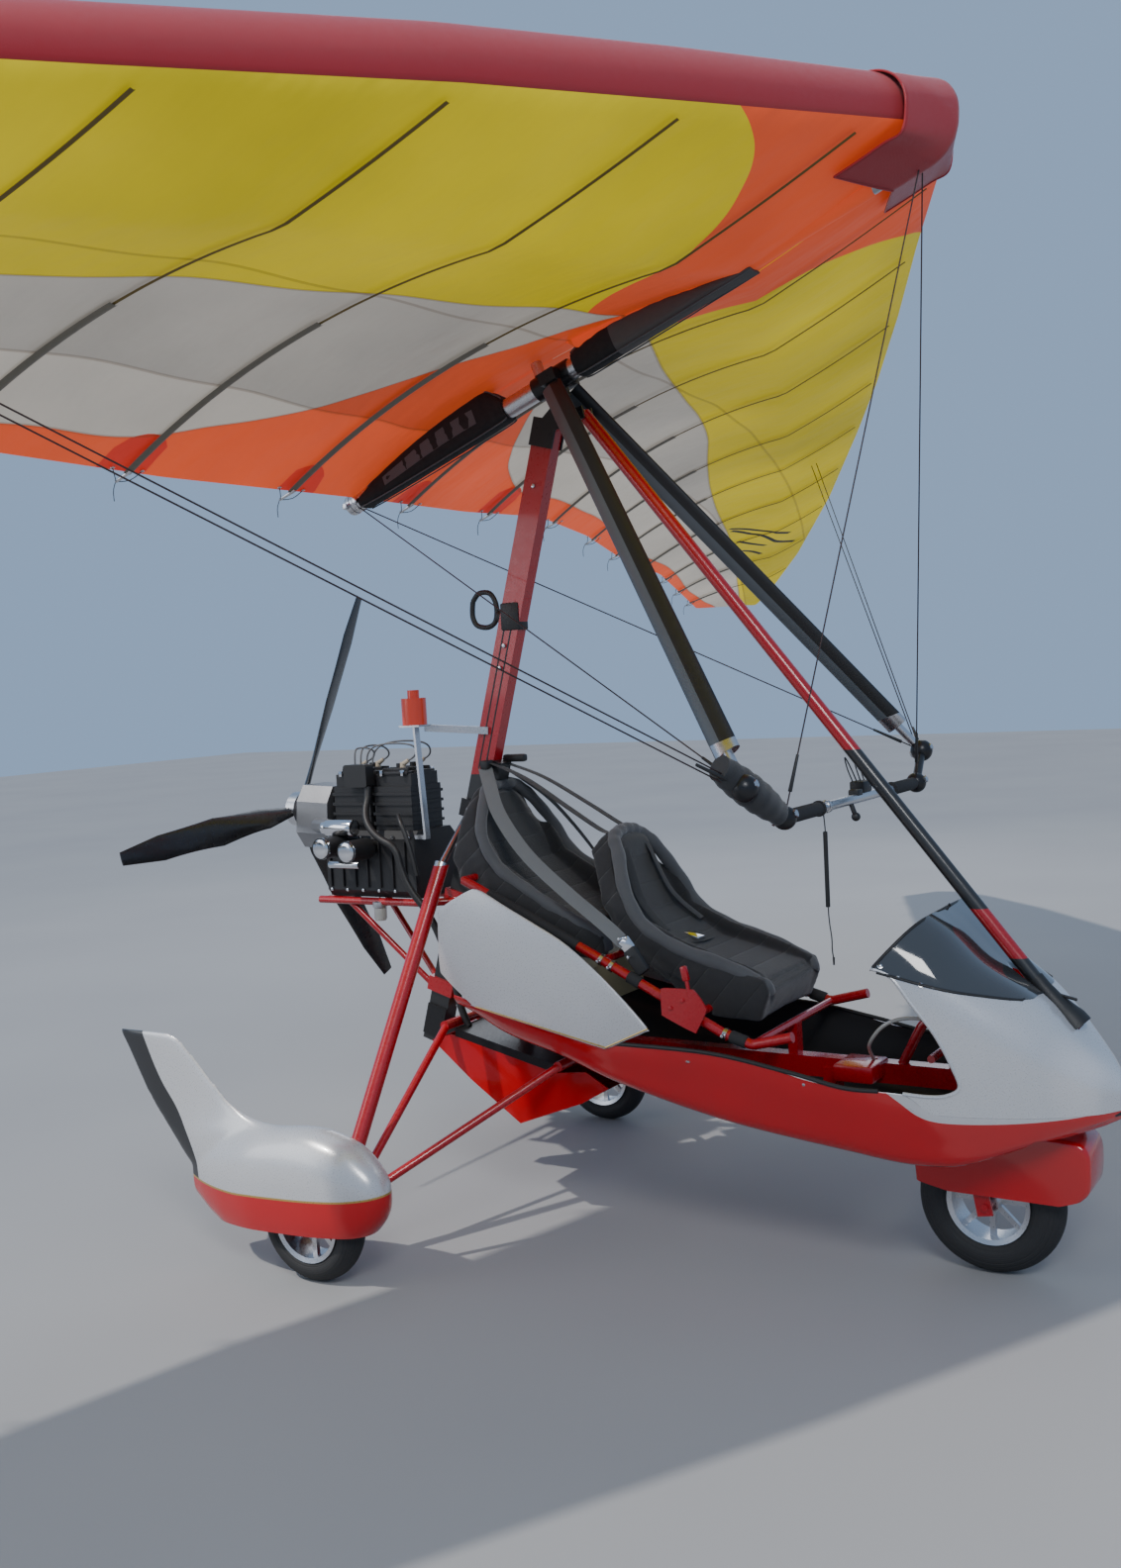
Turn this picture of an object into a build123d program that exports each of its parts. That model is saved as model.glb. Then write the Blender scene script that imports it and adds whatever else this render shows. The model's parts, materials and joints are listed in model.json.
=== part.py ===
"""Two-seat flex-wing microlight aircraft (a trike under a delta wing), parked on its three wheels.

X points forward, Y to the aircraft's left and Z up. The origin lies on the ground, under the
middle of the aircraft. Every size is in millimetres. Stations along X are given from the rear
axle, and fore() turns them into the model's own X.
"""
import os
from math import asin, atan2, cos, degrees, pi, radians, sin, tan

from build123d import *

os.makedirs("parts", exist_ok=True)

# Clearances
seat_gap = 0.3  # between pieces that rest on or bolt to each other
run_gap = 0.05  # radial, between a pin or shaft and its bore

# Undercarriage
rear_axle_x = -251.0  # of the rear axle from the origin
wheelbase = 1760.0
rear_track = 1720.0
rear_tyre_r = 180.0
rear_tyre_width = 96.0
front_tyre_r = 205.0
front_tyre_width = 104.0
rim_r = 108.0  # seat of the tyre on the rim
rim_wall = 5.0
hub_r = 30.0
stub_axle_r = 10.0
carrier_inset = 122.0  # of the axle carrier from the middle of the wheel
carrier_thick = 12.0
leg_r = 24.0
leg_rod_r = 11.0
arm_r = 13.0

# Steering
steer_trail = 60.0  # of the steering axis behind the front axle, at steer_z
steer_z = 500.0
steer_rake = 15.0
steerer_r = 18.0
head_r = 27.0
head_length = 130.0
fork_plate = 8.0
fork_width = 44.0
mudguard_half = 88.0
mudguard_wall = 4.0

# Main frame
beam_width = 50.0
beam_height = 60.0
beam_z = 545.0
mast_width = 50.0
mast_depth = 78.0
mast_foot_x = -165.0
mast_foot_z = 505.0
mast_top_x = 437.0
mast_top_z = 2560.0
cheek = 7.0  # plate thickness of hinges and brackets
strut_r = 21.0
strut_foot_x = 1975.0
strut_foot_z = 745.0
frame_tube_r = 15.0

# Hang point, where the wing hangs on the mast
hang_x = 460.0
hang_z = 2680.0  # height of the keel tube's axis above the hang pin
pitch_drop = 92.0  # pitch pin below the keel tube's axis
roll_drop = 52.0  # roll bolt below the keel tube's axis
hang_pin_r = 8.0
block_half = 18.0

# Wing
wing_slope = 19.7  # nose-up angle of the keel, with the control bar against the strut
keel_r = 32.5
keel_wall = 3.0
keel_rear_x = -400.0
keel_front_x = 1700.0
sail_inner_y = 45.0
apex_c, apex_half, apex_n = 14.0, 58.0, -38.0  # tops of the downtubes
corner_c, corner_half, corner_n = 443.0, 693.0, -1483.0
bend_half, bend_n = 528.0, -1581.0
bar_r = 14.0
downtube_chord = 76.0
downtube_thick = 30.0
knuckle_r = 36.0
king_post_height = 1080.0
king_post_r = 19.0
wire_r = 2.0
side_wire_c, side_wire_y, side_wire_n = -300.0, 3000.0, 150.0  # side wires on the sail

# Propeller and engine
thrust_x = -714.0
thrust_z = 1311.0
thrust_tilt = 3.0  # disc leans forward at the top
blade_reach = 852.0
blade_phase = 65.0
blade_hub_r = 62.0

# Pod
pod_wall = 7.0
scoop_wall = 5.0
scoop_half = 200.0
rail_half = 300.0  # of the seat frame's side tubes
cross_tube_r = 12.0


def fore(x):
    """X of a station given forward of the rear axle."""
    return rear_axle_x + x


def at(x, y, z):
    """Point given from the rear axle's station, the middle plane and the ground."""
    return Vector(fore(x), y, z)


def lerp(a, b, t):
    return a + (b - a) * t


def rod(a, b, radius, mode=Mode.ADD):
    """Adds a straight round bar from a to b to the part that is being built."""
    axis = Vector(b) - Vector(a)
    with BuildSketch(Plane(origin=Vector(a), z_dir=axis)) as end:
        Circle(radius)
    extrude(end.sketch, amount=axis.length, mode=mode)


def bar(a, b, width, height, mode=Mode.ADD, side=(0, 1, 0)):
    """Adds a straight bar of width along side and height across it, from a to b."""
    axis = Vector(b) - Vector(a)
    with BuildSketch(Plane(origin=Vector(a), x_dir=Vector(*side), z_dir=axis)) as end:
        Rectangle(width, height)
    extrude(end.sketch, amount=axis.length, mode=mode)


def bent_tube(points, bend, radius):
    """Adds a round tube along straight runs joined by arcs of one bend radius."""
    with BuildLine() as run:
        FilletPolyline(*points, radius=bend)
    path = run.line
    with BuildSketch(Plane(origin=path @ 0, z_dir=path % 0)) as end:
        Circle(radius)
    sweep(end.sketch, path=path)


def slab(outline, y0, y1, mode=Mode.ADD):
    """Adds a plate whose outline is a list of (station, height), between two Y values."""
    points = [(fore(x), z) for x, z in outline]
    with BuildSketch(Plane.XZ.offset(-y1)) as face:
        with BuildLine():
            Polyline(*points, close=True)
        make_face()
    extrude(face.sketch, amount=y1 - y0, mode=mode)


def level(table, column, x):
    """Value of a column at station x, on straight lines between a table's rows."""
    for low, high in zip(table, table[1:]):
        if x <= high[0]:
            break
    return lerp(low[column], high[column], (x - low[0]) / (high[0] - low[0]))


def save(part, name, colour):
    """Labels a finished piece and writes it."""
    part.label = name
    part.color = Color(*colour)
    export_step(part, f"parts/{name}.step")


RED = (0.75, 0.02, 0.05)
SILVER = (0.72, 0.72, 0.72)
BLACK = (0.03, 0.03, 0.03)
ALLOY = (0.8, 0.8, 0.82)

sides = {"left": 1, "right": -1}
wheel_y = rear_track / 2
carrier_y = wheel_y - carrier_inset
steer_x = wheelbase - steer_trail

# Main lines of the frame
mast_foot = at(mast_foot_x, 0, mast_foot_z)
mast_top = at(mast_top_x, 0, mast_top_z)
mast_axis = (mast_top - mast_foot).normalized()
mast_normal = Vector(mast_axis.Z, 0, -mast_axis.X)  # square to the mast, pointing forward


def on_mast(z):
    """Point on the mast's middle line at a height."""
    t = (z - mast_foot.Z) / (mast_top.Z - mast_foot.Z)
    return mast_foot + (mast_top - mast_foot) * t


hang = at(hang_x, 0, hang_z)
slope = radians(wing_slope)
wing_frame = Plane(
    origin=hang, x_dir=(cos(slope), 0, sin(slope)), z_dir=(-sin(slope), 0, cos(slope))
)


def wing(c, y, n):
    """Point in the wing's frame: c along the keel, n square to it, from the hang point."""
    return wing_frame.from_local_coords(Vector(c, y, n))


def keel_c(x):
    """Distance along the keel from the hang point to a station."""
    return (x - hang_x) / cos(slope)


pitch_pin = wing(0, 0, -pitch_drop)
strut_foot = at(strut_foot_x, 0, strut_foot_z)
strut_top = at(563, 0, 2560)

pod_table = (  # station, half width at the rim, rim height, half width at the chine, chine height, keel height
    (180, 352, 753, 280, 690, 664),
    (333, 352, 724, 300, 622, 600),
    (540, 352, 683, 312, 572, 550),
    (732, 352, 646, 318, 512, 490),
    (1061, 352, 645, 318, 440, 420),
    (1459, 344, 582, 300, 383, 374),
    (1625, 328, 576, 288, 364, 364),
    (1709, 314, 526, 276, 362, 372),
    (1930, 232, 518, 200, 424, 424),
    (2080, 124, 514, 100, 466, 466),
    (2136, 34, 510, 26, 486, 486),
)

# Main beam under the seats, with the steering head and the cross tubes for the arms
head_axis = Vector(-sin(radians(steer_rake)), 0, cos(radians(steer_rake)))
steer_point = at(steer_x, 0, steer_z)
strut_axis = (strut_top - strut_foot).normalized()
strut_pad = strut_foot - strut_axis * 10
head_low = steer_point - head_axis * 15
head_top = head_low + head_axis * head_length
beam_front = steer_point + head_axis * 45
beam_rear = Vector(on_mast(beam_z).X + mast_depth / 2 + 14, 0, beam_z)


def beam_level(x):
    """Height of the beam's middle line at a station."""
    t = (fore(x) - beam_rear.X) / (beam_front.X - beam_rear.X)
    return lerp(beam_rear.Z, beam_front.Z, t)


arm_rear_x = 45.0
arm_rear_z = 618.0
arm_rear_half = 205.0
arm_front_x = 490.0
arm_front_z = 528.0
arm_front_half = 225.0
cross_r = 16.0
tank_z, tank_height = 757.0, 126.0
tank_feet = (230.0, 470.0)  # blocks on the beam that the fuel tank stands on
pod_feet = (820.0, 1300.0)  # blocks under the beam that the tub's floor is bolted to
with BuildPart() as main_beam:
    bar(beam_rear, beam_front, beam_width, beam_height)
    rod(at(arm_rear_x, -arm_rear_half, arm_rear_z), at(arm_rear_x, arm_rear_half, arm_rear_z), cross_r)
    bar(at(arm_rear_x, 0, beam_z), at(arm_rear_x, 0, arm_rear_z), beam_width, 30)
    rod(at(arm_front_x, -arm_front_half, arm_front_z), at(arm_front_x, arm_front_half, arm_front_z), cross_r)
    rod(head_low, head_top, head_r)
    bent_tube([at(1510, 0, 560), at(1585, 0, 704), strut_pad + Vector(-12, 0, -19)], 50, 14)
    rod(strut_foot - strut_axis * 16, strut_foot - strut_axis * seat_gap, strut_r + 5)
    for x in tank_feet:
        bar(at(x, 0, beam_level(x)), at(x, 0, tank_z - tank_height / 2 - seat_gap), beam_width, 30)
    for x in pod_feet:
        foot = [(x + dx, level(pod_table, 5, x + dx) + pod_wall + seat_gap) for dx in (-20, 20)]
        slab([(x + 20, beam_z), (x - 20, beam_z), *foot], -30, 30)
    rod(head_low - head_axis, head_top + head_axis, steerer_r + run_gap, mode=Mode.SUBTRACT)
save(main_beam.part, "main_beam", RED)

# Mast
with BuildPart() as mast:
    bar(mast_foot, mast_top, mast_width, mast_depth)
save(mast.part, "mast", RED)

# Hinge plates that fold the mast on the beam's rear end
hinge_half = mast_width / 2 + seat_gap
with BuildPart() as mast_hinge:
    for sign in (1, -1):
        for a, b in ((mast_foot + mast_axis * 20, mast_foot + mast_axis * 130),):
            bar(a + Vector(0, sign * (hinge_half + cheek / 2), 0), b + Vector(0, sign * (hinge_half + cheek / 2), 0),
                cheek, mast_depth)
        bar(beam_rear + Vector(-50, sign * (hinge_half + cheek / 2), 0),
            beam_rear + Vector(90, sign * (hinge_half + cheek / 2), 0), cheek, beam_height)
save(mast_hinge.part, "mast_hinge", BLACK)

# Mast head: two cheeks that carry the hang pin and the front strut's pin
head_half = mast_width / 2 + seat_gap
with BuildPart() as mast_head:
    for sign in (1, -1):
        y = sign * (head_half + cheek / 2)
        bar(mast_top - mast_axis * 90 + Vector(0, y, 0), mast_top + Vector(0, y, 0), cheek, mast_depth + 10)
        bar(mast_top - mast_axis * 20 + Vector(0, y, 0), pitch_pin + Vector(0, y, 0) + (pitch_pin - mast_top).normalized() * 16,
            cheek, 40)
        bar(on_mast(mast_top_z - 30) + Vector(0, y, 0), strut_top + Vector(14, y, 2), cheek, 40)
    rod(pitch_pin - Vector(0, head_half + cheek + 8, 0), pitch_pin + Vector(0, head_half + cheek + 8, 0), hang_pin_r)
    rod(strut_top - Vector(0, head_half + cheek + 6, 0), strut_top + Vector(0, head_half + cheek + 6, 0), 6)
save(mast_head.part, "mast_head", BLACK)

# Front strut from the mast head to the nose
with BuildPart() as front_strut:
    rod(strut_top, strut_foot, strut_r)
    rod(strut_top - Vector(0, strut_r, 0), strut_top + Vector(0, strut_r, 0), 15)
    rod(strut_top - Vector(0, 60, 0), strut_top + Vector(0, 60, 0), 6 + seat_gap, mode=Mode.SUBTRACT)
save(front_strut.part, "front_strut", RED)

# Engine mount: a clamp round the mast, two rails under the engine and their stays
mount_z = 1000.0
rail_y = 105.0
rail_rear_x = -560.0
clamp_high_z = 1310.0
clamp_wall = 12.0
low_clamp_z = 700.0
with BuildPart() as engine_mount:
    for z, half in ((mount_z, 32), (low_clamp_z, 25)):
        c = on_mast(z)
        bar(c - mast_axis * half, c + mast_axis * half, mast_width + 2 * clamp_wall, mast_depth + 2 * clamp_wall)
    for sign in (1, -1):
        inner = on_mast(mount_z) + Vector(0, sign * (mast_width / 2 + 6), 0)
        bent_tube([inner, at(-110, sign * rail_y, mount_z), at(rail_rear_x, sign * rail_y, mount_z)], 60, 13)
        low = on_mast(low_clamp_z) + Vector(-mast_depth / 2, sign * 20, 0)
        rod(low, at(-430, sign * (rail_y - 6), mount_z - 3), 11)
    rod(at(rail_rear_x + 30, -rail_y, mount_z), at(rail_rear_x + 30, rail_y, mount_z), 12)
    bar(mast_foot, mast_top, mast_width + 2 * seat_gap, mast_depth + 2 * seat_gap, mode=Mode.SUBTRACT)
save(engine_mount.part, "engine_mount", RED)

# Clamp that carries the tops of the main legs
with BuildPart() as leg_clamp:
    c = on_mast(clamp_high_z)
    bar(c - mast_axis * 30, c + mast_axis * 30, mast_width + 2 * clamp_wall, mast_depth + 2 * clamp_wall)
    bar(mast_foot, mast_top, mast_width + 2 * seat_gap, mast_depth + 2 * seat_gap, mode=Mode.SUBTRACT)
save(leg_clamp.part, "leg_clamp", BLACK)

# Engine: crankcase, two liquid-cooled cylinders in line, their heads and the covers on them
crank_x0, crank_x1 = -510.0, -120.0
crank_z0 = mount_z + 13 + seat_gap
crank_z1 = 1245.0
with BuildPart() as engine:
    with Locations(at((crank_x0 + crank_x1) / 2, 0, (crank_z0 + crank_z1) / 2)):
        Box(crank_x1 - crank_x0, 236, crank_z1 - crank_z0)
    chamfer(engine.edges().filter_by(Axis.X), 26)
    for x in (-405.0, -225.0):
        with Locations(at(x, 0, crank_z1 + 75)):
            Box(158, 170, 152)
        for k in range(4):
            with Locations(at(x, 0, crank_z1 + 24 + 34 * k)):
                Box(168, 182, 10)
        with Locations(at(x, 0, crank_z1 + 172)):
            Box(150, 150, 44)
        for y in (-38, 38):
            with Locations(at(x, y, crank_z1 + 208)):
                Cylinder(11, 40)
    with Locations(at(-315, 0, crank_z1 + 186)):
        Box(330, 84, 34)
save(engine.part, "engine", (0.08, 0.08, 0.09))

# Two intake filters on the near side of the engine, and the rubber box over its plugs
with BuildPart() as air_filters:
    for x, z in ((-410, 1200), (-300, 1190)):
        rod(at(x, -118 - seat_gap, z), at(x, -150, z), 22)
        rod(at(x, -150, z), at(x, -262, z), 37)
save(air_filters.part, "air_filters", ALLOY)
with BuildPart() as plug_box:
    with Locations(at(-360, -75 - seat_gap - 22, 1436)):
        Box(100, 44, 78)
    fillet(plug_box.edges().filter_by(Axis.Y), 10)
save(plug_box.part, "plug_box", BLACK)

# Reduction gearbox, with the starter motor under its near side and the propeller shaft
thrust = at(thrust_x, 0, thrust_z)
tilt = radians(thrust_tilt)
thrust_axis = Vector(cos(tilt), 0, -sin(tilt))
disc_up = Vector(sin(tilt), 0, cos(tilt))
with BuildPart() as gearbox:
    with BuildSketch(Plane(origin=thrust + thrust_axis * 62, x_dir=(0, 1, 0), z_dir=thrust_axis)) as case:
        with BuildLine():
            Polyline((-62, 96), (62, 96), (98, 40), (104, -70), (60, -128), (-60, -128), (-104, -70), (-98, 40),
                     close=True)
        make_face()
    extrude(case.sketch, amount=160)
    rod(thrust + thrust_axis * 40, thrust + thrust_axis * 70, 44)
    rod(thrust + thrust_axis * 12, thrust + thrust_axis * 44, 24)
    rod(at(-560, -100, 1264), at(-430, -146, 1264), 24)
    slab([(crank_x0 - seat_gap, 900), (crank_x0 + 200, 900), (crank_x0 + 200, 1600), (crank_x0 - seat_gap, 1600)],
         -119, 119, mode=Mode.SUBTRACT)
save(gearbox.part, "gearbox", ALLOY)

# Propeller: a hub on the shaft and three blades
blade_table = (  # distance out from the hub, chord, thickness, twist from the disc
    (0, 46, 22, 52),
    (128, 84, 19, 40),
    (358, 104, 13, 25),
    (618, 86, 9, 17),
    (blade_reach - blade_hub_r - seat_gap, 44, 5, 13),
)
with BuildPart() as propeller_hub:
    rod(thrust - thrust_axis * 26, thrust + thrust_axis * (12 - seat_gap), blade_hub_r)
    rod(thrust - thrust_axis * 44, thrust - thrust_axis * 26, 26)
    for k in range(6):
        a = radians(60 * k)
        p = thrust + Vector(0, cos(a) * 42, 0) + disc_up * (sin(a) * 42)
        rod(p - thrust_axis * 34, p - thrust_axis * 26, 7)
save(propeller_hub.part, "propeller_hub", ALLOY)

with BuildPart() as propeller_blades:
    for k in range(3):
        a = radians(blade_phase + 120 * k)
        out = Vector(0, cos(a), 0) + disc_up * sin(a)
        across = thrust_axis.cross(out)
        with BuildPart(mode=Mode.PRIVATE) as blade:
            for reach, chord, thick, twist in blade_table:
                reach = reach + blade_hub_r + seat_gap
                t = radians(twist)
                chord_dir = across * cos(t) + thrust_axis * sin(t)
                origin = thrust - thrust_axis * 8 + out * reach
                with BuildSketch(Plane(origin=origin, x_dir=chord_dir, z_dir=out)):
                    Ellipse(chord / 2, thick / 2)
            loft(ruled=True)
        add(blade.part)
save(propeller_blades.part, "propeller_blades", BLACK)


# Wheels
def rim(y, z, x, width, name):
    """Writes a wheel: hub, five pairs of spokes, rim and flanges, about a line along Y."""
    centre = Vector(x, y, z)
    seat = rim_r
    profile = [(stub_axle_r + run_gap, -width / 2 + 6), (hub_r, -width / 2 + 6), (hub_r, width / 2 - 6),
               (stub_axle_r + run_gap, width / 2 - 6)]
    ring = [(seat - rim_wall, -width / 2 + 8), (seat + 9, -width / 2 + 4), (seat + 9, -width / 2 + 9),
            (seat, -width / 2 + 12), (seat, width / 2 - 12), (seat + 9, width / 2 - 9), (seat + 9, width / 2 - 4),
            (seat - rim_wall, width / 2 - 8)]
    with BuildPart() as wheel:
        for points in (profile, ring):
            with BuildSketch(Plane(origin=centre, x_dir=(1, 0, 0), z_dir=(0, 0, 1))) as half:
                with BuildLine():
                    Polyline(*points, close=True)
                make_face()
            revolve(half.sketch, axis=Axis(centre, (0, 1, 0)))
        for k in range(8):
            a = radians(45 * k)
            d = Vector(cos(a), 0, sin(a))
            bar(centre + d * (hub_r - 4), centre + d * (seat - rim_wall + 1), 14, 16)
    save(wheel.part, name, ALLOY)


def tyre(y, z, x, radius, width, name):
    """Writes a tyre: an open ring with rounded shoulders, resting on the rim."""
    centre = Vector(x, y, z)
    seat = rim_r + seat_gap
    w = width / 2
    with BuildPart() as ring:
        with BuildSketch(Plane(origin=centre, x_dir=(1, 0, 0), z_dir=(0, 0, 1))) as half:
            with BuildLine():
                Polyline((seat, -w + 13), (seat, w - 13), (seat + 10.5, w - 9.5))
                ThreePointArc((seat + 10.5, w - 9.5), (seat + 34, w), (radius - 16, w - 12))
                ThreePointArc((radius - 16, w - 12), (radius, 0), (radius - 16, -w + 12))
                ThreePointArc((radius - 16, -w + 12), (seat + 34, -w), (seat + 10.5, -w + 9.5))
                Line((seat + 10.5, -w + 9.5), (seat, -w + 13))
            make_face()
        revolve(half.sketch, axis=Axis(centre, (0, 1, 0)))
    save(ring.part, name, BLACK)


for side, sign in sides.items():
    rim(sign * wheel_y, rear_tyre_r, fore(0), rear_tyre_width, f"rear_rim_{side}")
    tyre(sign * wheel_y, rear_tyre_r, fore(0), rear_tyre_r, rear_tyre_width, f"rear_tyre_{side}")
rim(0, front_tyre_r, fore(wheelbase), front_tyre_width, "front_rim")
tyre(0, front_tyre_r, fore(wheelbase), front_tyre_r, front_tyre_width, "front_tyre")

# Main legs: a silver rod from the mast slides into a red tube that runs down to the wheel
leg_top = (90, 250, 1160)
leg_foot = (4, carrier_y - 36, 262)
for side, sign in sides.items():
    top = at(leg_top[0], sign * leg_top[1], leg_top[2])
    foot = at(leg_foot[0], sign * leg_foot[1], leg_foot[2])
    root = on_mast(clamp_high_z) + Vector(0, sign * (mast_width / 2 + clamp_wall + 14), 0)
    with BuildPart() as leg:
        rod(top, foot, leg_r)
        rod(foot, at(leg_foot[0], sign * (carrier_y - carrier_thick / 2 - seat_gap), leg_foot[2]), 13)
        rod(root, top, leg_rod_r)
        rod(root + Vector(0, -sign * (14 - seat_gap), 0), root + Vector(0, sign * 4, 0), 14)
    save(leg.part, f"main_leg_{side}", RED)

# Axle carriers, each with its stub axle and the two arms that locate it
arm_table = (  # station, half length and height of the cross tube, station and height on the carrier
    (arm_rear_x, arm_rear_half, arm_rear_z, 30, 190),
    (arm_front_x, arm_front_half, arm_front_z, 145, 258),
)
spat_half = 96.0
for side, sign in sides.items():
    with BuildPart() as arms:
        with BuildSketch(Plane(origin=(0, sign * carrier_y, 0), x_dir=(1, 0, 0), z_dir=(0, -1, 0))):
            with BuildLine():
                Polyline((fore(-34), 140), (fore(40), 132), (fore(170), 250), (fore(150), 285), (fore(30), 290),
                         (fore(-34), 284), close=True)
            make_face()
        extrude(amount=carrier_thick / 2, both=True)
        inner = sign * (wheel_y - spat_half - seat_gap)
        rod((fore(0), sign * carrier_y, rear_tyre_r), (fore(0), inner, rear_tyre_r), 24)
        rod((fore(0), sign * carrier_y, rear_tyre_r), (fore(0), sign * (wheel_y + 62), rear_tyre_r), stub_axle_r)
        rod((fore(0), sign * (wheel_y + 46), rear_tyre_r), (fore(0), sign * (wheel_y + 60), rear_tyre_r), 17)
        rod((fore(0), inner, rear_tyre_r), (fore(0), sign * (wheel_y - 46), rear_tyre_r), 16)
        for x, half, z, foot_x, foot_z in arm_table:
            joint = sign * (half + seat_gap)
            rod(at(x, joint, z), at(x, joint + sign * 24, z), cross_r)
            rod(at(x, joint + sign * 12, z), at(foot_x, sign * carrier_y, foot_z), arm_r)
    save(arms.part, f"axle_arms_{side}", RED)

# Spats over the rear wheels, hollow and open below, each with a swept fin behind
spat_table = (  # station, half width, top, bottom
    (282, 10, 305, 266),
    (245, 54, 362, 222),
    (150, 86, 432, 180),
    (20, 96, 456, 154),
    (-160, 92, 440, 136),
    (-300, 68, 398, 134),
    (-400, 40, 352, 196),
    (-486, 8, 322, 262),
)


def spat_outline(half, top, bottom, shrink):
    """Section of the spat: rounded above, upright below."""
    w = max(half - shrink, 2)
    t = top - shrink
    b = bottom - (40 if shrink else 0)
    h = t - b
    return [(-w, b), (w, b), (w, b + h * 0.55), (w * 0.72, t - h * 0.12), (w * 0.2, t), (-w * 0.2, t),
            (-w * 0.72, t - h * 0.12), (-w, b + h * 0.55)]


fin_outline = [(-120, 420), (-164, 443), (-554, 689), (-686, 694), (-782, 687), (-760, 640), (-500, 300), (-400, 262)]
for side, sign in sides.items():
    with BuildPart() as spat:
        for station, half, top, bottom in spat_table:
            with BuildSketch(Plane(origin=(fore(station), sign * wheel_y, 0), x_dir=(0, 1, 0), z_dir=(1, 0, 0))):
                with BuildLine():
                    Polyline(*spat_outline(half, top, bottom, 0), close=True)
                make_face()
        loft(ruled=True)
        slab(fin_outline, sign * wheel_y - 9, sign * wheel_y + 9)
        with BuildPart(mode=Mode.PRIVATE) as hollow:
            for station, half, top, bottom in spat_table[1:-1]:
                with BuildSketch(Plane(origin=(fore(station), sign * wheel_y, 0), x_dir=(0, 1, 0), z_dir=(1, 0, 0))):
                    with BuildLine():
                        Polyline(*spat_outline(half, top, bottom, scoop_wall), close=True)
                    make_face()
            loft(ruled=True)
        add(hollow.part, mode=Mode.SUBTRACT)
        rod((fore(0), sign * (wheel_y - 120), rear_tyre_r), (fore(0), sign * wheel_y, rear_tyre_r), 17 + seat_gap, mode=Mode.SUBTRACT)
    save(spat.part, f"spat_{side}", SILVER)

# Front fork with its steering stem, foot bar and axle
crown_z = 452.0
fork_half = front_tyre_width / 2 + 14
front_axle = Vector(fore(wheelbase), 0, front_tyre_r)
crown = steer_point - head_axis * 34
blade_top = crown - head_axis * 8
blade_low = front_axle + Vector(0, 0, -26)
crown_rear = crown - head_axis * 8 + Vector(-30, 0, 0)
crown_front = crown_rear + Vector(64, 0, -4)
crown_end = (crown_front - crown_rear).normalized() * seat_gap
with BuildPart() as front_fork:
    rod(crown, head_top + head_axis * 46, steerer_r)
    bar(crown_rear, crown_front, 2 * (fork_half + fork_plate), 12)
    for sign in (1, -1):
        y = sign * (fork_half + fork_plate / 2)
        bar(blade_top + Vector(0, y, 0), blade_low + Vector(0, y, 0), fork_plate, fork_width)
    rod(front_axle - Vector(0, fork_half + fork_plate + 8, 0), front_axle + Vector(0, fork_half + fork_plate + 8, 0), stub_axle_r)
    for sign in (1, -1):
        rod(front_axle + Vector(0, sign * 46.3, 0), front_axle + Vector(0, sign * (fork_half + 1), 0), 16)
    p = head_top + head_axis * 32
    rod(p - Vector(0, 190, 0), p + Vector(0, 190, 0), 11)
save(front_fork.part, "front_fork", RED)

# Front mudguard, carried by the fork
guard_out = [(-190, 262), (-99, 242), (205, 240), (268, 262), (290, 320), (284, 366), (250, 406), (140, 430),
             (-120, 430), (-196, 380)]  # distance ahead of the axle, height
guard_in = [(-220, 200), (240, 200), (262, 258), (285, 320), (279, 362), (246, 401), (138, 425), (-118, 425),
            (-205, 372)]
with BuildPart() as front_mudguard:
    slab([(wheelbase + x, z) for x, z in guard_out], -mudguard_half, mudguard_half)
    slab([(wheelbase + x, z) for x, z in guard_in], -mudguard_half + mudguard_wall, mudguard_half - mudguard_wall,
         mode=Mode.SUBTRACT)
    for sign in (1, -1):
        y = sign * (fork_half + fork_plate / 2)
        bar(blade_top + Vector(0, y, 0), blade_low + Vector(0, y, 0), fork_plate + 2 * seat_gap,
            fork_width + 2 * seat_gap, mode=Mode.SUBTRACT)
    bar(crown_rear - crown_end, crown_front + crown_end, 2 * (fork_half + fork_plate + seat_gap),
        12 + 2 * seat_gap, mode=Mode.SUBTRACT)
save(front_mudguard.part, "front_mudguard", RED)

# Pod: an open tub with a slot below for the front wheel


def tub(rim_half, rim_z, chine_half, chine_z, keel_z, shrink, lift):
    """Section of the tub from rim to keel, symmetric about the middle plane."""
    r = rim_half - shrink
    c = max(chine_half - shrink, 4)
    low = chine_z + shrink
    keel = keel_z + shrink
    if rim_z + lift - low < 8:
        low = rim_z + lift - 8
        keel = low - 0.01
    return [(-r, rim_z + lift), (r, rim_z + lift), (r, rim_z - 6), (c, low), (c * 0.4, keel), (-c * 0.4, keel),
            (-c, low), (-r, rim_z - 6)]


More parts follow.
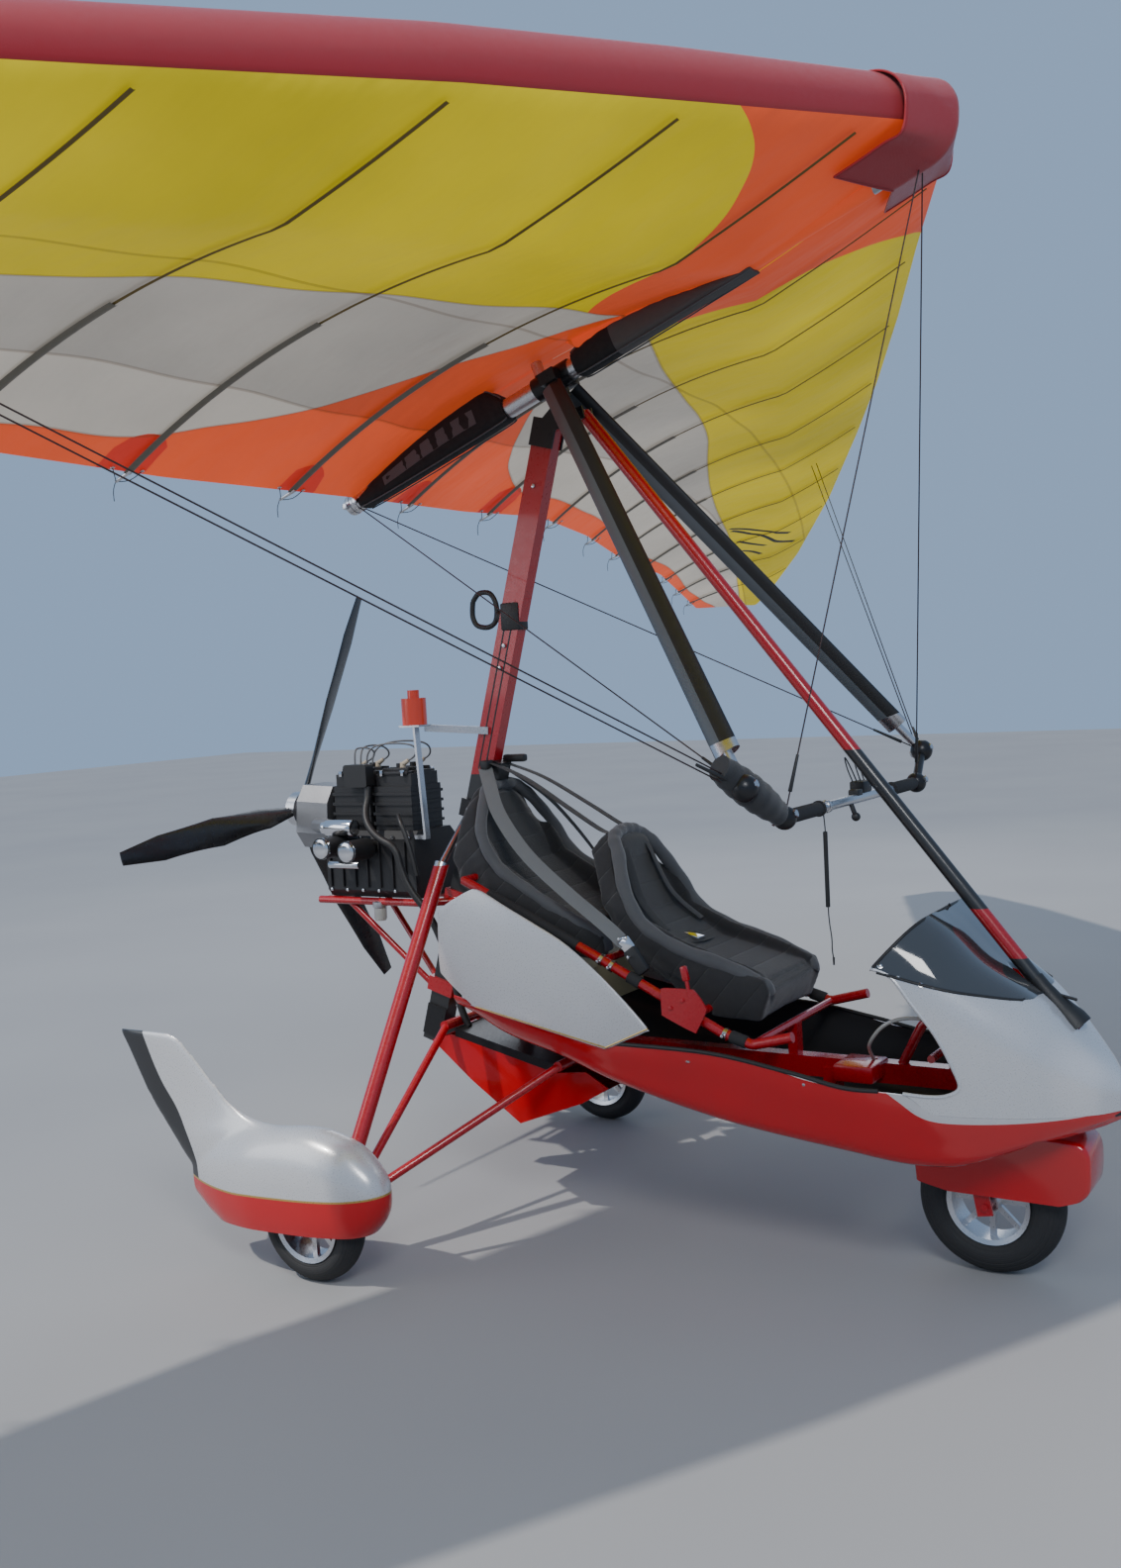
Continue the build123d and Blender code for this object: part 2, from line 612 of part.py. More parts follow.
arch_half = 205.0  # of the opening for the front wheel
arch_rear = 270.0  # its ends, from the front axle
arch_front = 350.0
beam_slot = beam_width / 2 + seat_gap
with BuildPart() as pod_hull:
    for station, rh, rz, ch, cz, kz in pod_table:
        with BuildSketch(Plane(origin=(fore(station), 0, 0), x_dir=(0, 1, 0), z_dir=(1, 0, 0))):
            with BuildLine():
                Polyline(*tub(rh, rz, ch, cz, kz, 0, 0), close=True)
            make_face()
    loft(ruled=True)
    with BuildPart(mode=Mode.PRIVATE) as hollow:
        for i, (station, rh, rz, ch, cz, kz) in enumerate(pod_table[:-1]):
            x = station - 20 if i == 0 else station
            with BuildSketch(Plane(origin=(fore(x), 0, 0), x_dir=(0, 1, 0), z_dir=(1, 0, 0))):
                with BuildLine():
                    Polyline(*tub(rh, rz, ch, cz, kz, pod_wall, 30), close=True)
                make_face()
        loft(ruled=True)
    add(hollow.part, mode=Mode.SUBTRACT)
    slab([(wheelbase - arch_rear, 300), (wheelbase + arch_front, 300), (wheelbase + arch_front, 505),
          (wheelbase - arch_rear, 505)], -arch_half, arch_half, mode=Mode.SUBTRACT)
    slab([(0, 460), (710, 460), (710, 600), (0, 760)], -beam_slot, beam_slot, mode=Mode.SUBTRACT)
save(pod_hull.part, "pod_hull", RED)

# Side panels on the tub's rim, beside the rear seat
panel_outline = [(279, 1095), (140, 1025), (138, 828), (269, level(pod_table, 2, 269) - 14),
                 (732, level(pod_table, 2, 732) - 14), (878, 700), (681, 881), (582, 953)]
panel_thick = 6.0
panel_inner = pod_table[0][1] + seat_gap
for side, sign in sides.items():
    with BuildPart() as panel:
        faces = sorted((sign * panel_inner, sign * (panel_inner + panel_thick)))
        slab(panel_outline, *faces)
    save(panel.part, f"side_panel_{side}", SILVER)

# Nose cowl over the front of the tub, and the screen on top of it
cowl_table = (  # station, shoulder height, top height
    (1540, 935, 1100),
    (1625, 902, 1058),
    (1709, 860, 1000),
    (1800, 792, 905),
    (1930, 704, 808),
    (2080, 590, 640),
    (2136, 545, 562),
)
cowl_cut = [(1400, 480), (1621, 480), (1626, 578), (1694, 574), (1753, 579), (1775, 601), (1756, 652), (1714, 741),
            (1650, 830), (1604, 890), (1553, 912), (1672, 1046), (1672, 1300), (1400, 1300)]
screen_line = [(1500, 918), (1604, 894), (1785, 846), (2010, 790)]  # lower edge of the screen


def cowl_outline(station, shoulder, top, shrink):
    """Section of the cowl from the tub's rim up, symmetric about the middle plane."""
    w = level(pod_table, 1, station) - shrink
    low = level(pod_table, 2, station) + seat_gap - (40 if shrink else 0)
    return [(-w, low), (w, low), (w * 0.96, shoulder - shrink), (w * 0.6, top - shrink * 1.1), (-w * 0.6, top - shrink * 1.1),
            (-w * 0.96, shoulder - shrink)]


def above(line, gap):
    """Outline of the region above a line of (station, height) points, raised by a gap."""
    return [(x, z + gap) for x, z in line] + [(line[-1][0], 1400), (line[0][0], 1400)]


with BuildPart() as cowl_shell:
    for station, shoulder, top in cowl_table:
        with BuildSketch(Plane(origin=(fore(station), 0, 0), x_dir=(0, 1, 0), z_dir=(1, 0, 0))):
            with BuildLine():
                Polyline(*cowl_outline(station, shoulder, top, 0), close=True)
            make_face()
    loft(ruled=True)
    with BuildPart(mode=Mode.PRIVATE) as hollow:
        for i, (station, shoulder, top) in enumerate(cowl_table[:-1]):
            with BuildSketch(Plane(origin=(fore(station) - (20 if i == 0 else 0), 0, 0), x_dir=(0, 1, 0), z_dir=(1, 0, 0))):
                with BuildLine():
                    Polyline(*cowl_outline(station, shoulder, top, pod_wall), close=True)
                make_face()
        loft(ruled=True)
    add(hollow.part, mode=Mode.SUBTRACT)
    rod(strut_foot - strut_axis * 50, strut_foot + strut_axis * 300, strut_r + 12, mode=Mode.SUBTRACT)
    slab(cowl_cut, -400, 400, mode=Mode.SUBTRACT)
with BuildPart() as nose_cowl:
    add(cowl_shell.part)
    slab(above(screen_line, 0), -400, 400, mode=Mode.SUBTRACT)
save(nose_cowl.part, "nose_cowl", SILVER)
with BuildPart() as windscreen:
    add(cowl_shell.part)
    slab(above(screen_line, seat_gap), -400, 400, mode=Mode.INTERSECT)
save(windscreen.part, "windscreen", (0.4, 0.42, 0.45))

# Seats: shells with raised sides, narrowing to a rounded top, on the frame's cross tubes
rail_points = ((208, 1115), (674, 899), (1091, 695), (1183, 668), (1305, 700))
seat_tubes = ((208, 1115), (700, 884), (1000, 739), (1183, 668))
front_seat_outline = [(572, 1200), (612, 1254), (650, 1256), (700, 1120), (770, 990), (905, 925), (1185, 842),
                      (1200, 800), (1168, 716), (953, 722), (870, 800), (720, 910), (640, 1040)]
front_seat_bucket = [(660, 1300), (660, 1256), (664, 1120), (728, 985), (885, 885), (1260, 795), (1300, 1300)]
front_seat_face = [(-200, 690), (200, 690), (212, 960), (205, 1040), (130, 1190), (100, 1238), (60, 1260)]
rear_seat_outline = [(113, 1180), (113, 1290), (143, 1400), (178, 1404), (216, 1290), (280, 1160), (460, 1048), (684, 952),
                     (684, 862), (560, 880), (300, 985), (150, 1090)]
rear_seat_bucket = [(166, 1440), (166, 1400), (178, 1290), (238, 1140), (400, 1010), (560, 960), (720, 900), (760, 1440)]
rear_seat_face = [(-242, 850), (242, 850), (246, 1060), (236, 1180), (150, 1340), (110, 1390), (70, 1410)]


def seat(outline, bucket, face, inner):
    """Adds a seat: a side view thinned between its sides and trimmed to a front view."""
    slab(outline, -face[1][0] - 60, face[1][0] + 60)
    slab(bucket, -inner, inner, mode=Mode.SUBTRACT)
    mirrored = face + [(-y, z) for y, z in reversed(face[2:])]
    with BuildSketch(Plane(origin=(fore(0), 0, 0), x_dir=(0, 1, 0), z_dir=(1, 0, 0))) as front:
        with BuildLine():
            Polyline(*mirrored, close=True)
        make_face()
    extrude(front.sketch, amount=1500, mode=Mode.INTERSECT)
    for x, z in seat_tubes:
        rod(at(x, -rail_half, z), at(x, rail_half, z), cross_tube_r + seat_gap, mode=Mode.SUBTRACT)


mast_space = mast_depth + 2 * seat_gap
with BuildPart() as front_seat:
    seat(front_seat_outline, front_seat_bucket, front_seat_face, 158)
save(front_seat.part, "front_seat", BLACK)
with BuildPart() as rear_seat:
    seat(rear_seat_outline, rear_seat_bucket, rear_seat_face, 190)
    bar(mast_foot, mast_top, mast_width + 40, mast_space, mode=Mode.SUBTRACT)
    c = on_mast(clamp_high_z)
    bar(c - mast_axis * 30.3, c + mast_axis * 30.3, mast_width + 2 * (clamp_wall + seat_gap), mast_space + 2 * clamp_wall,
        mode=Mode.SUBTRACT)
    for sign in (1, -1):
        lug = sign * (mast_width / 2 + seat_gap + cheek / 2)
        bar(on_mast(1115) + Vector(0, lug, 0), at(209, lug, 1115), cheek + 2 * seat_gap, 44 + 2 * seat_gap,
            mode=Mode.SUBTRACT)
    slab([(560, 850), (720, 850), (720, 1200), (560, 1200)], -216, 216, mode=Mode.SUBTRACT)
save(rear_seat.part, "rear_seat", BLACK)

# Seat frame: a bent tube along each side, joined by cross tubes and held by the mast and the beam
with BuildPart() as seat_frame:
    for sign in (1, -1):
        bent_tube([at(x, sign * rail_half, z) for x, z in rail_points], 40, frame_tube_r)
        slab([(895, 808), (1002, 690), (1037, 759)], *sorted((sign * (rail_half - 5), sign * (rail_half + 5))))
        lug = sign * (mast_width / 2 + seat_gap + cheek / 2)
        bar(on_mast(1115) + Vector(0, lug, 0), at(208, lug, 1115), cheek, 44)
    for x, z in seat_tubes:
        rod(at(x, -rail_half, z), at(x, rail_half, z), cross_tube_r)
    post_x, post_z = seat_tubes[-1]
    bar(at(post_x, 0, post_z), at(post_x, 0, beam_level(post_x) + beam_height / 2 + seat_gap), 40, 30)
save(seat_frame.part, "seat_frame", RED)

# Fuel tank, radiator and belly scoop
with BuildPart() as fuel_tank:
    with Locations(at(350, 0, tank_z)):
        Box(420, 400, tank_height)
save(fuel_tank.part, "fuel_tank", (0.85, 0.82, 0.6))

scoop_outline = [(-30, 560), (120, 440), (305, 314), (542, 404), (640, 460), (560, 505), (447, 492), (46, 584)]
with BuildPart() as belly_scoop:
    slab(scoop_outline, -scoop_half, scoop_half)
    slab([(0, 560), (300, 322), (540, 411), (700, 470), (560, 640), (0, 640)], -scoop_half + scoop_wall,
         scoop_half - scoop_wall, mode=Mode.SUBTRACT)
    slab([(-200, 512), (700, 512), (700, 700), (-200, 700)], -beam_slot, beam_slot, mode=Mode.SUBTRACT)
    slab([(-200, 512), (0, 512), (0, 700), (-200, 700)], -beam_slot - cheek - seat_gap, beam_slot + cheek + seat_gap,
         mode=Mode.SUBTRACT)
save(belly_scoop.part, "belly_scoop", RED)

radiator_outline = [(66, 579.4 + seat_gap), (66, 606), (447, 520), (447, 492 + seat_gap)]
with BuildPart() as radiator:
    slab(radiator_outline, -scoop_half, scoop_half)
    slab([(0, 400), (600, 400), (600, 700), (0, 700)], -beam_slot, beam_slot, mode=Mode.SUBTRACT)
save(radiator.part, "radiator", BLACK)

# Coolant bottle, and the bracket that holds it off the mast and the engine
bottle = Vector(fore(-100), -100, 1650)
bottle_r = 42.0
shelf_z = bottle.Z - 45 - seat_gap
with BuildPart() as coolant_bottle:
    rod(bottle - Vector(0, 0, 45), bottle + Vector(0, 0, 45), bottle_r)
    rod(bottle + Vector(0, 0, 40), bottle + Vector(0, 0, 72), 20)
save(coolant_bottle.part, "coolant_bottle", RED)
with BuildPart() as bottle_bracket:
    bar(Vector(fore(-142), bottle.Y, shelf_z - 3), Vector(fore(-58), bottle.Y, shelf_z - 3), 70, 6)
    bar(at(-80, -72, shelf_z - 12), at(150, -mast_width / 2 - seat_gap - 5, shelf_z - 30), 10, 24)
    bar(at(-98, -100, shelf_z - 3), at(-77, -100, 1232), 26, 8)
    bar(at(-73, -100, 1226), Vector(fore(crank_x1) + seat_gap, -100, 1226), 26, 14)
save(bottle_bracket.part, "bottle_bracket", ALLOY)

# Starter handle behind the mast and the belts' anchor in front of it
with BuildPart() as starter_handle:
    c = on_mast(1940) - mast_normal * (mast_depth / 2 + 25 + seat_gap)
    with BuildSketch(Plane(origin=c, x_dir=tuple(mast_normal), z_dir=(0, -1, 0))):
        Rectangle(50, 70)
        Rectangle(30, 46, mode=Mode.SUBTRACT)
    extrude(amount=8, both=True)
save(starter_handle.part, "starter_handle", BLACK)
with BuildPart() as belt_anchor:
    c = on_mast(1458) + mast_normal * (mast_depth / 2 + seat_gap)
    bar(c, c + mast_normal * 34, 64, 58)
save(belt_anchor.part, "belt_anchor", BLACK)

# Hang block between the mast head's cheeks
with BuildPart() as hang_block:
    rod(pitch_pin - Vector(0, block_half, 0), pitch_pin + Vector(0, block_half, 0), 18)
    bar(pitch_pin, wing(0, 0, -roll_drop), 28, 44)
    rod(wing(-22, 0, -roll_drop), wing(22, 0, -roll_drop), 9)
    rod(pitch_pin - Vector(0, 30, 0), pitch_pin + Vector(0, 30, 0), hang_pin_r + run_gap, mode=Mode.SUBTRACT)
    rod(wing(-30, 0, -roll_drop), wing(30, 0, -roll_drop), 5 + run_gap, mode=Mode.SUBTRACT)
save(hang_block.part, "hang_block", BLACK)

# Keel tube
keel_rear = wing(keel_c(keel_rear_x), 0, 0)
keel_front = wing(keel_c(keel_front_x), 0, 0)
with BuildPart() as keel_tube:
    rod(keel_rear, keel_front, keel_r)
    rod(keel_rear - (keel_front - keel_rear).normalized(), keel_front + (keel_front - keel_rear).normalized(), keel_r - keel_wall,
        mode=Mode.SUBTRACT)
save(keel_tube.part, "keel_tube", ALLOY)

# Apex bracket: a collar round the keel with the roll bolt's plates and the downtubes' ears
with BuildPart() as apex_bracket:
    rod(wing(-70, 0, 0), wing(70, 0, 0), keel_r + 6)
    for c in (-26.3, 26.3):
        bar(wing(c, 0, -66), wing(c, 0, -20), 30, 8)
    rod(wing(-30, 0, -roll_drop), wing(30, 0, -roll_drop), 5)
    for sign in (1, -1):
        bar(wing(apex_c, sign * 55, -25), wing(apex_c, sign * 55, 14), 40, 60)
    rod(wing(-80, 0, 0), wing(80, 0, 0), keel_r + seat_gap, mode=Mode.SUBTRACT)
save(apex_bracket.part, "apex_bracket", BLACK)

# Control frame
for side, sign in sides.items():
    top = wing(apex_c, sign * apex_half, apex_n)
    corner = wing(corner_c, sign * corner_half, corner_n)
    bend = wing(corner_c, sign * bend_half, bend_n)
    run = corner - top
    down = run.normalized()
    with BuildPart() as downtube:
        with BuildSketch(Plane(origin=top, x_dir=(cos(slope), 0, sin(slope)), z_dir=down)) as face:
            Ellipse(downtube_chord / 2, downtube_thick / 2)
        extrude(face.sketch, amount=run.length * 0.93)
        rod(top + run * 0.92, corner - down * (knuckle_r + seat_gap), bar_r)
    save(downtube.part, f"downtube_{side}", (0.3, 0.33, 0.36))
    with BuildPart() as knuckle:
        with Locations(corner):
            Sphere(knuckle_r)
        with Locations(bend):
            Sphere(knuckle_r - 4)
        rod(corner, bend, bar_r)
    save(knuckle.part, f"corner_{side}", BLACK)

with BuildPart() as base_bar:
    y = bend_half - (knuckle_r - 4) - seat_gap
    rod(wing(corner_c, -y, bend_n), wing(corner_c, y, bend_n), bar_r)
save(base_bar.part, "base_bar", BLACK)

# Sail, as solid aerofoil lofts either side of the keel with a strip above it
sail_table = (  # Y, c and n of the leading edge's foot, c and n of the trailing edge, depth in front, sag, camber
    (34, 1377, 22, -866, 10, 152, 56, 98),
    (800, 1013, 66, -965, 64, 165, 34, 90),
    (1400, 735, 93, -990, 97, 162, 26, 78),
    (2100, 386, 118, -1172, 134, 148, 20, 64),
    (2800, 26, 157, -1410, 174, 130, 16, 50),
    (3700, -519, 148, -1630, 192, 108, 12, 38),
    (4600, -1128, 140, -1950, 210, 84, 8, 24),
    (5130, -1553, 130, -2140, 220, 60, 4, 10),
    (5400, -1807, 124, -1985, 172, 26, 1, 3),
)


def sail_outline(c0, n0, c1, n1, depth, sag, camber, grow=0.0):
    """Draws one section of the sail in the plane of the keel's length and height."""
    chord = c0 - c1
    low0 = (c0 + grow, n0 - grow)
    front = (c0 + depth * 0.17 + grow, n0 + depth / 2)
    high0 = (c0 - depth * 0.1, n0 + depth + grow)
    low1 = (c1 - grow, n1 - grow)
    high1 = (c1 - grow, n1 + 8 + grow)
    knee = (c0 - chord * 0.3, n0 - sag - grow)
    crown = (c0 - chord * 0.42, (n0 + depth + n1) / 2 + camber + grow)
    arch = (c0 - chord * 0.66, (n1 + knee[1]) / 2 + camber * 0.98 - grow)
    ThreePointArc(low0, front, high0)
    ThreePointArc(high0, crown, high1)
    Line(high1, low1)
    ThreePointArc(low1, arch, knee)
    Line(knee, low0)


def wing_plane(y):
    """Section plane of the wing at Y, with the keel's length along its x."""
    return Plane(origin=wing(0, y, 0), x_dir=(cos(slope), 0, sin(slope)), z_dir=(0, -1, 0))


sails = []
for side, sign in sides.items():
    with BuildPart() as sail:
        for y, *section in sail_table:
            with BuildSketch(wing_plane(sign * y)):
                with BuildLine():
                    sail_outline(*section)
                make_face()
        loft(ruled=True)
    sails.append(sail.part)
    save(sail.part, f"sail_{side}", (0.9, 0.8, 0.1))

king_c = -40.0
with BuildPart() as sail_centre:
    with BuildSketch(wing_plane(0)) as face:
        with BuildLine():
            sail_outline(*sail_table[0][1:])
        make_face()
    extrude(face.sketch, amount=34 - seat_gap, both=True)
    rod(wing(-1200, 0, 0), wing(keel_c(keel_front_x) + 4, 0, 0), keel_r + seat_gap, mode=Mode.SUBTRACT)
    rod(wing(king_c, 0, 0), wing(king_c, 0, 500), king_post_r + seat_gap, mode=Mode.SUBTRACT)
save(sail_centre.part, "sail_centre", (0.9, 0.3, 0.1))

# Covers on the keel: a pocket behind the hang point and a fairing ahead of it
pocket_outline = [(-850, -40), (-850, 4), (-640, 60), (-440, 100), (-250, 92), (-190, 40), (-190, -40)]
fairing_outline = [(96, -41), (96, 44), (250, 60), (420, 40), (560, 8), (742, -34), (742, -41)]
with BuildPart() as keel_covers:
    for outline in (pocket_outline, fairing_outline):
        with BuildSketch(wing_plane(0)) as face:
            with BuildLine():
                Polyline(*outline, close=True)
            make_face()
        extrude(face.sketch, amount=39, both=True)
    rod(wing(-1200, 0, 0), wing(1400, 0, 0), keel_r + seat_gap, mode=Mode.SUBTRACT)
    with BuildSketch(wing_plane(0)) as face:
        with BuildLine():
            sail_outline(*sail_table[0][1:], grow=seat_gap)
        make_face()
    extrude(face.sketch, amount=60, both=True, mode=Mode.SUBTRACT)
save(keel_covers.part, "keel_covers", BLACK)

# Nose cone wrapped over the meeting of the leading edges
cone_table = ((-200, 1688, 11, 24), (0, 1768, 4, 56), (200, 1688, 11, 24))  # Y, front's station, rise, drop
with BuildPart() as nose_cone:
    for y, le, rise, drop in cone_table:
        with BuildSketch(wing_plane(y)):
            with BuildLine():
                c = keel_c(le)
                Polyline((c, rise - 16), (c - 60, rise - drop + 6), (c - 210, rise - drop), (c - 210, rise + 192))
                ThreePointArc((c - 210, rise + 192), (c - 80, rise + 190), (c - 10, rise + 168))
                ThreePointArc((c - 10, rise + 168), (c + 42, rise + 80), (c, rise - 16))
            make_face()
    loft(ruled=True)
    with BuildPart(mode=Mode.PRIVATE) as core:
        for y, le, rise, drop in cone_table:
            with BuildSketch(wing_plane(y)):
                with BuildLine():
                    c = keel_c(le)
                    Polyline((c, rise - 8), (c - 60, rise - drop + 14), (c - 260, rise - drop + 10), (c - 260, rise + 184))
                    ThreePointArc((c - 260, rise + 184), (c - 80, rise + 180), (c - 12, rise + 160))
                    ThreePointArc((c - 12, rise + 160), (c + 34, rise + 80), (c, rise - 8))
                make_face()
        loft(ruled=True)
    add(core.part, mode=Mode.SUBTRACT)
    bar(wing(1150, 0, -60), wing(1315, 0, -60), 80, 60, mode=Mode.SUBTRACT)
    bar(wing(1200, 0, 180), wing(1260, 0, 180), 50, 24)
    add(sail_centre.part, mode=Mode.SUBTRACT)
    for solid in sails:
        add(solid, mode=Mode.SUBTRACT)
save(nose_cone.part, "nose_cone", RED)

# King post and rigging, whose wires end on what they hold
king_foot = wing(king_c, 0, keel_r + 6 + seat_gap)
king_head = wing(king_c, 0, king_post_height)
with BuildPart() as king_post:
    rod(king_foot, king_head, king_post_r)
save(king_post.part, "king_post", ALLOY)

nose_tang = wing(keel_c(1676), 0, 0)
rear_tang = wing(keel_c(-380), 0, 0)
with BuildPart() as lower_rigging:
    for sign in sides.values():
        corner = wing(corner_c, sign * corner_half, corner_n)
        bend = wing(corner_c, sign * bend_half, bend_n)
        rod(nose_tang, bend, wire_r)
        rod(rear_tang, corner, wire_r)
        for shift in (-14, 14):
            end = wing(side_wire_c + shift, sign * side_wire_y, side_wire_n + 60)
            rod(lerp(corner, bend, 0.14) + Vector(0, 0, shift * 0.8), end, wire_r)
        for ball, radius in ((corner, knuckle_r), (bend, knuckle_r - 4)):
            with Locations(ball):
                Sphere(radius + seat_gap, mode=Mode.SUBTRACT)
    rod(wing(keel_c(keel_rear_x) - 5, 0, 0), wing(keel_c(keel_front_x) + 5, 0, 0), keel_r + seat_gap, mode=Mode.SUBTRACT)
    for solid in (*sails, sail_centre.part, keel_covers.part, nose_cone.part):
        add(solid, mode=Mode.SUBTRACT)
save(lower_rigging.part, "lower_rigging", BLACK)

with BuildPart() as upper_rigging:
    for c, y, n in ((1060, 0, 60), (-820, 0, 0), (side_wire_c, side_wire_y, side_wire_n + 20),
                    (side_wire_c, -side_wire_y, side_wire_n + 20)):
        rod(king_head - (king_head - king_foot).normalized() * 20, wing(c, y, n), wire_r)
    rod(king_foot, king_head + (king_head - king_foot), king_post_r + seat_gap, mode=Mode.SUBTRACT)
    rod(wing(keel_c(keel_rear_x) - 5, 0, 0), wing(keel_c(keel_front_x) + 5, 0, 0), keel_r + seat_gap, mode=Mode.SUBTRACT)
    for solid in (*sails, sail_centre.part, keel_covers.part, nose_cone.part):
        add(solid, mode=Mode.SUBTRACT)
save(upper_rigging.part, "upper_rigging", BLACK)
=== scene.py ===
"""Two-seat flex-wing microlight aircraft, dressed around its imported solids.

Sizes are in metres. Stations run forward from the rear axle, and c and n are measured along and
square to the keel from the hang point.
"""

import json
import logging
import math
from dataclasses import dataclass, field
from enum import Enum
from typing import Callable, Iterable, Sequence

import bmesh
import bpy
from mathutils import Matrix, Vector

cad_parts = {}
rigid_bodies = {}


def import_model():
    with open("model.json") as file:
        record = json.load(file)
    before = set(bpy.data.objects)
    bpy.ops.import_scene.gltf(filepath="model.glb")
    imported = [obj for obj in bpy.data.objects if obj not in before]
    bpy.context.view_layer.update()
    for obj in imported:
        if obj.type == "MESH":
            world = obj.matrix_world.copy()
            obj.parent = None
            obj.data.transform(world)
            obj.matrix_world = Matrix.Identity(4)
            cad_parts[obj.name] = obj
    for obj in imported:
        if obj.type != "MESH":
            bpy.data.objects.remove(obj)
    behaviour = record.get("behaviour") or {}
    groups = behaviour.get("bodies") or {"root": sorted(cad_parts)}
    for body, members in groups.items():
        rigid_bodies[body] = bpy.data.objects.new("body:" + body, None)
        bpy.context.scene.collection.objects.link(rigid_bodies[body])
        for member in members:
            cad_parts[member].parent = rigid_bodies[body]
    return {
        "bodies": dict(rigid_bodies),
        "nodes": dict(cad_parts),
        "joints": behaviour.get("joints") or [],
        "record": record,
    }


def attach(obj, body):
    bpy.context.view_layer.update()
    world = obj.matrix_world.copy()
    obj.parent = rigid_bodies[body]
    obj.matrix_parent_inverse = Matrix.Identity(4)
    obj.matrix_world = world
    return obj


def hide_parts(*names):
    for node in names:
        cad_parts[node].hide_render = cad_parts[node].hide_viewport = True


LOG = logging.getLogger("microlight")
AXLE_X = -0.251  # the rear axle in the model's frame
SLOPE = math.radians(19.7)
HANG = Vector((AXLE_X + 0.460, 0.0, 2.680))
ALONG = Vector((math.cos(SLOPE), 0.0, math.sin(SLOPE)))
UPRIGHT = Vector((-math.sin(SLOPE), 0.0, math.cos(SLOPE)))
SPAN = Vector((0.0, 1.0, 0.0))
UP = Vector((0.0, 0.0, 1.0))
FRONT_WHEEL = (1.760, 0.0, 0.205)
REAR_WHEEL = (0.0, 0.860, 0.180)
SCREEN_FOOT = ((1.500, 0.918), (1.604, 0.894), (1.785, 0.846), (2.010, 0.790))
Colour = tuple[float, float, float]
Point = tuple[float, float, float]
Outline = list[tuple[float, float]]
Table = Sequence[Sequence[float]]
Piece = bpy.types.Object
Socket = bpy.types.NodeSocket
Vert = bmesh.types.BMVert


class Side(Enum):
    """A side of the aircraft and the sign of its Y."""

    LEFT = 1
    RIGHT = -1

    @property
    def word(self) -> str:
        """The side's name in lower case."""
        return self.name.lower()


def at(x: float, y: float, z: float) -> Vector:
    """Point from a station, a distance to the left and a height."""
    return Vector((AXLE_X + x, y, z))


def wing(c: float, y: float, n: float) -> Vector:
    """Point in the wing's own frame."""
    return HANG + ALONG * c + SPAN * y + UPRIGHT * n


def lerp(a: float, b: float, t: float) -> float:
    """Value between two numbers."""
    return a + (b - a) * t


def level(table: Table, column: int, x: float) -> float:
    """Value of a table's column at x, on straight lines between its rows.

    Args:
        table: Rows that rise in their first column.
        column: The column to read.
        x: The place in the first column.

    Returns:
        The value there.
    """
    for low, high in zip(table, table[1:]):
        if x <= high[0]:
            break
    return lerp(low[column], high[column], (x - low[0]) / (high[0] - low[0]))


def spline(points: Table, count: int) -> list[tuple[float, ...]]:
    """Samples a smooth curve through points of any number of columns.

    Args:
        points: The rows that the curve passes.
        count: How many samples to take, ends included.

    Returns:
        The sampled rows.
    """
    rows = [tuple(float(v) for v in p) for p in points]
    last = len(rows) - 1
    out = []
    for k in range(count):
        t = k / (count - 1) * last
        i = min(int(t), last - 1)
        f = t - i
        p = [rows[max(0, min(last, i + d))] for d in (-1, 0, 1, 2)]
        out.append(
            tuple(
                0.5 * (2 * b + (c - a) * f + (2 * a - 5 * b + 4 * c - d) * f * f
                       + (3 * b - a - 3 * c + d) * f**3)
                for a, b, c, d in zip(*p)
            )
        )
    return out


def arc(a: Sequence[float], b: Sequence[float], c: Sequence[float], count: int) -> Outline:
    """Samples the circular arc from a through b to c in a plane.

    Args:
        a: The start.
        b: A point between.
        c: The end.
        count: How many samples to take, ends included.

    Returns:
        The points on the arc.
    """
    ax, ay, bx, by, cx, cy = *a, *b, *c
    d = 2 * (ax * (by - cy) + bx * (cy - ay) + cx * (ay - by))
    if abs(d) < 1e-9:
        return [(lerp(ax, cx, k / (count - 1)), lerp(ay, cy, k / (count - 1))) for k in range(count)]
    sa, sb, sc = ax * ax + ay * ay, bx * bx + by * by, cx * cx + cy * cy
    ux = (sa * (by - cy) + sb * (cy - ay) + sc * (ay - by)) / d
    uy = (sa * (cx - bx) + sb * (ax - cx) + sc * (bx - ax)) / d
    r = math.hypot(ax - ux, ay - uy)
    t0, tm, t1 = (math.atan2(q - uy, p - ux) for p, q in ((ax, ay), (bx, by), (cx, cy)))
    turn = (t1 - t0) % (2 * math.pi)
    if (tm - t0) % (2 * math.pi) > turn:
        turn -= 2 * math.pi
    return [
        (ux + r * math.cos(t0 + turn * k / (count - 1)), uy + r * math.sin(t0 + turn * k / (count - 1)))
        for k in range(count)
    ]


# Shading


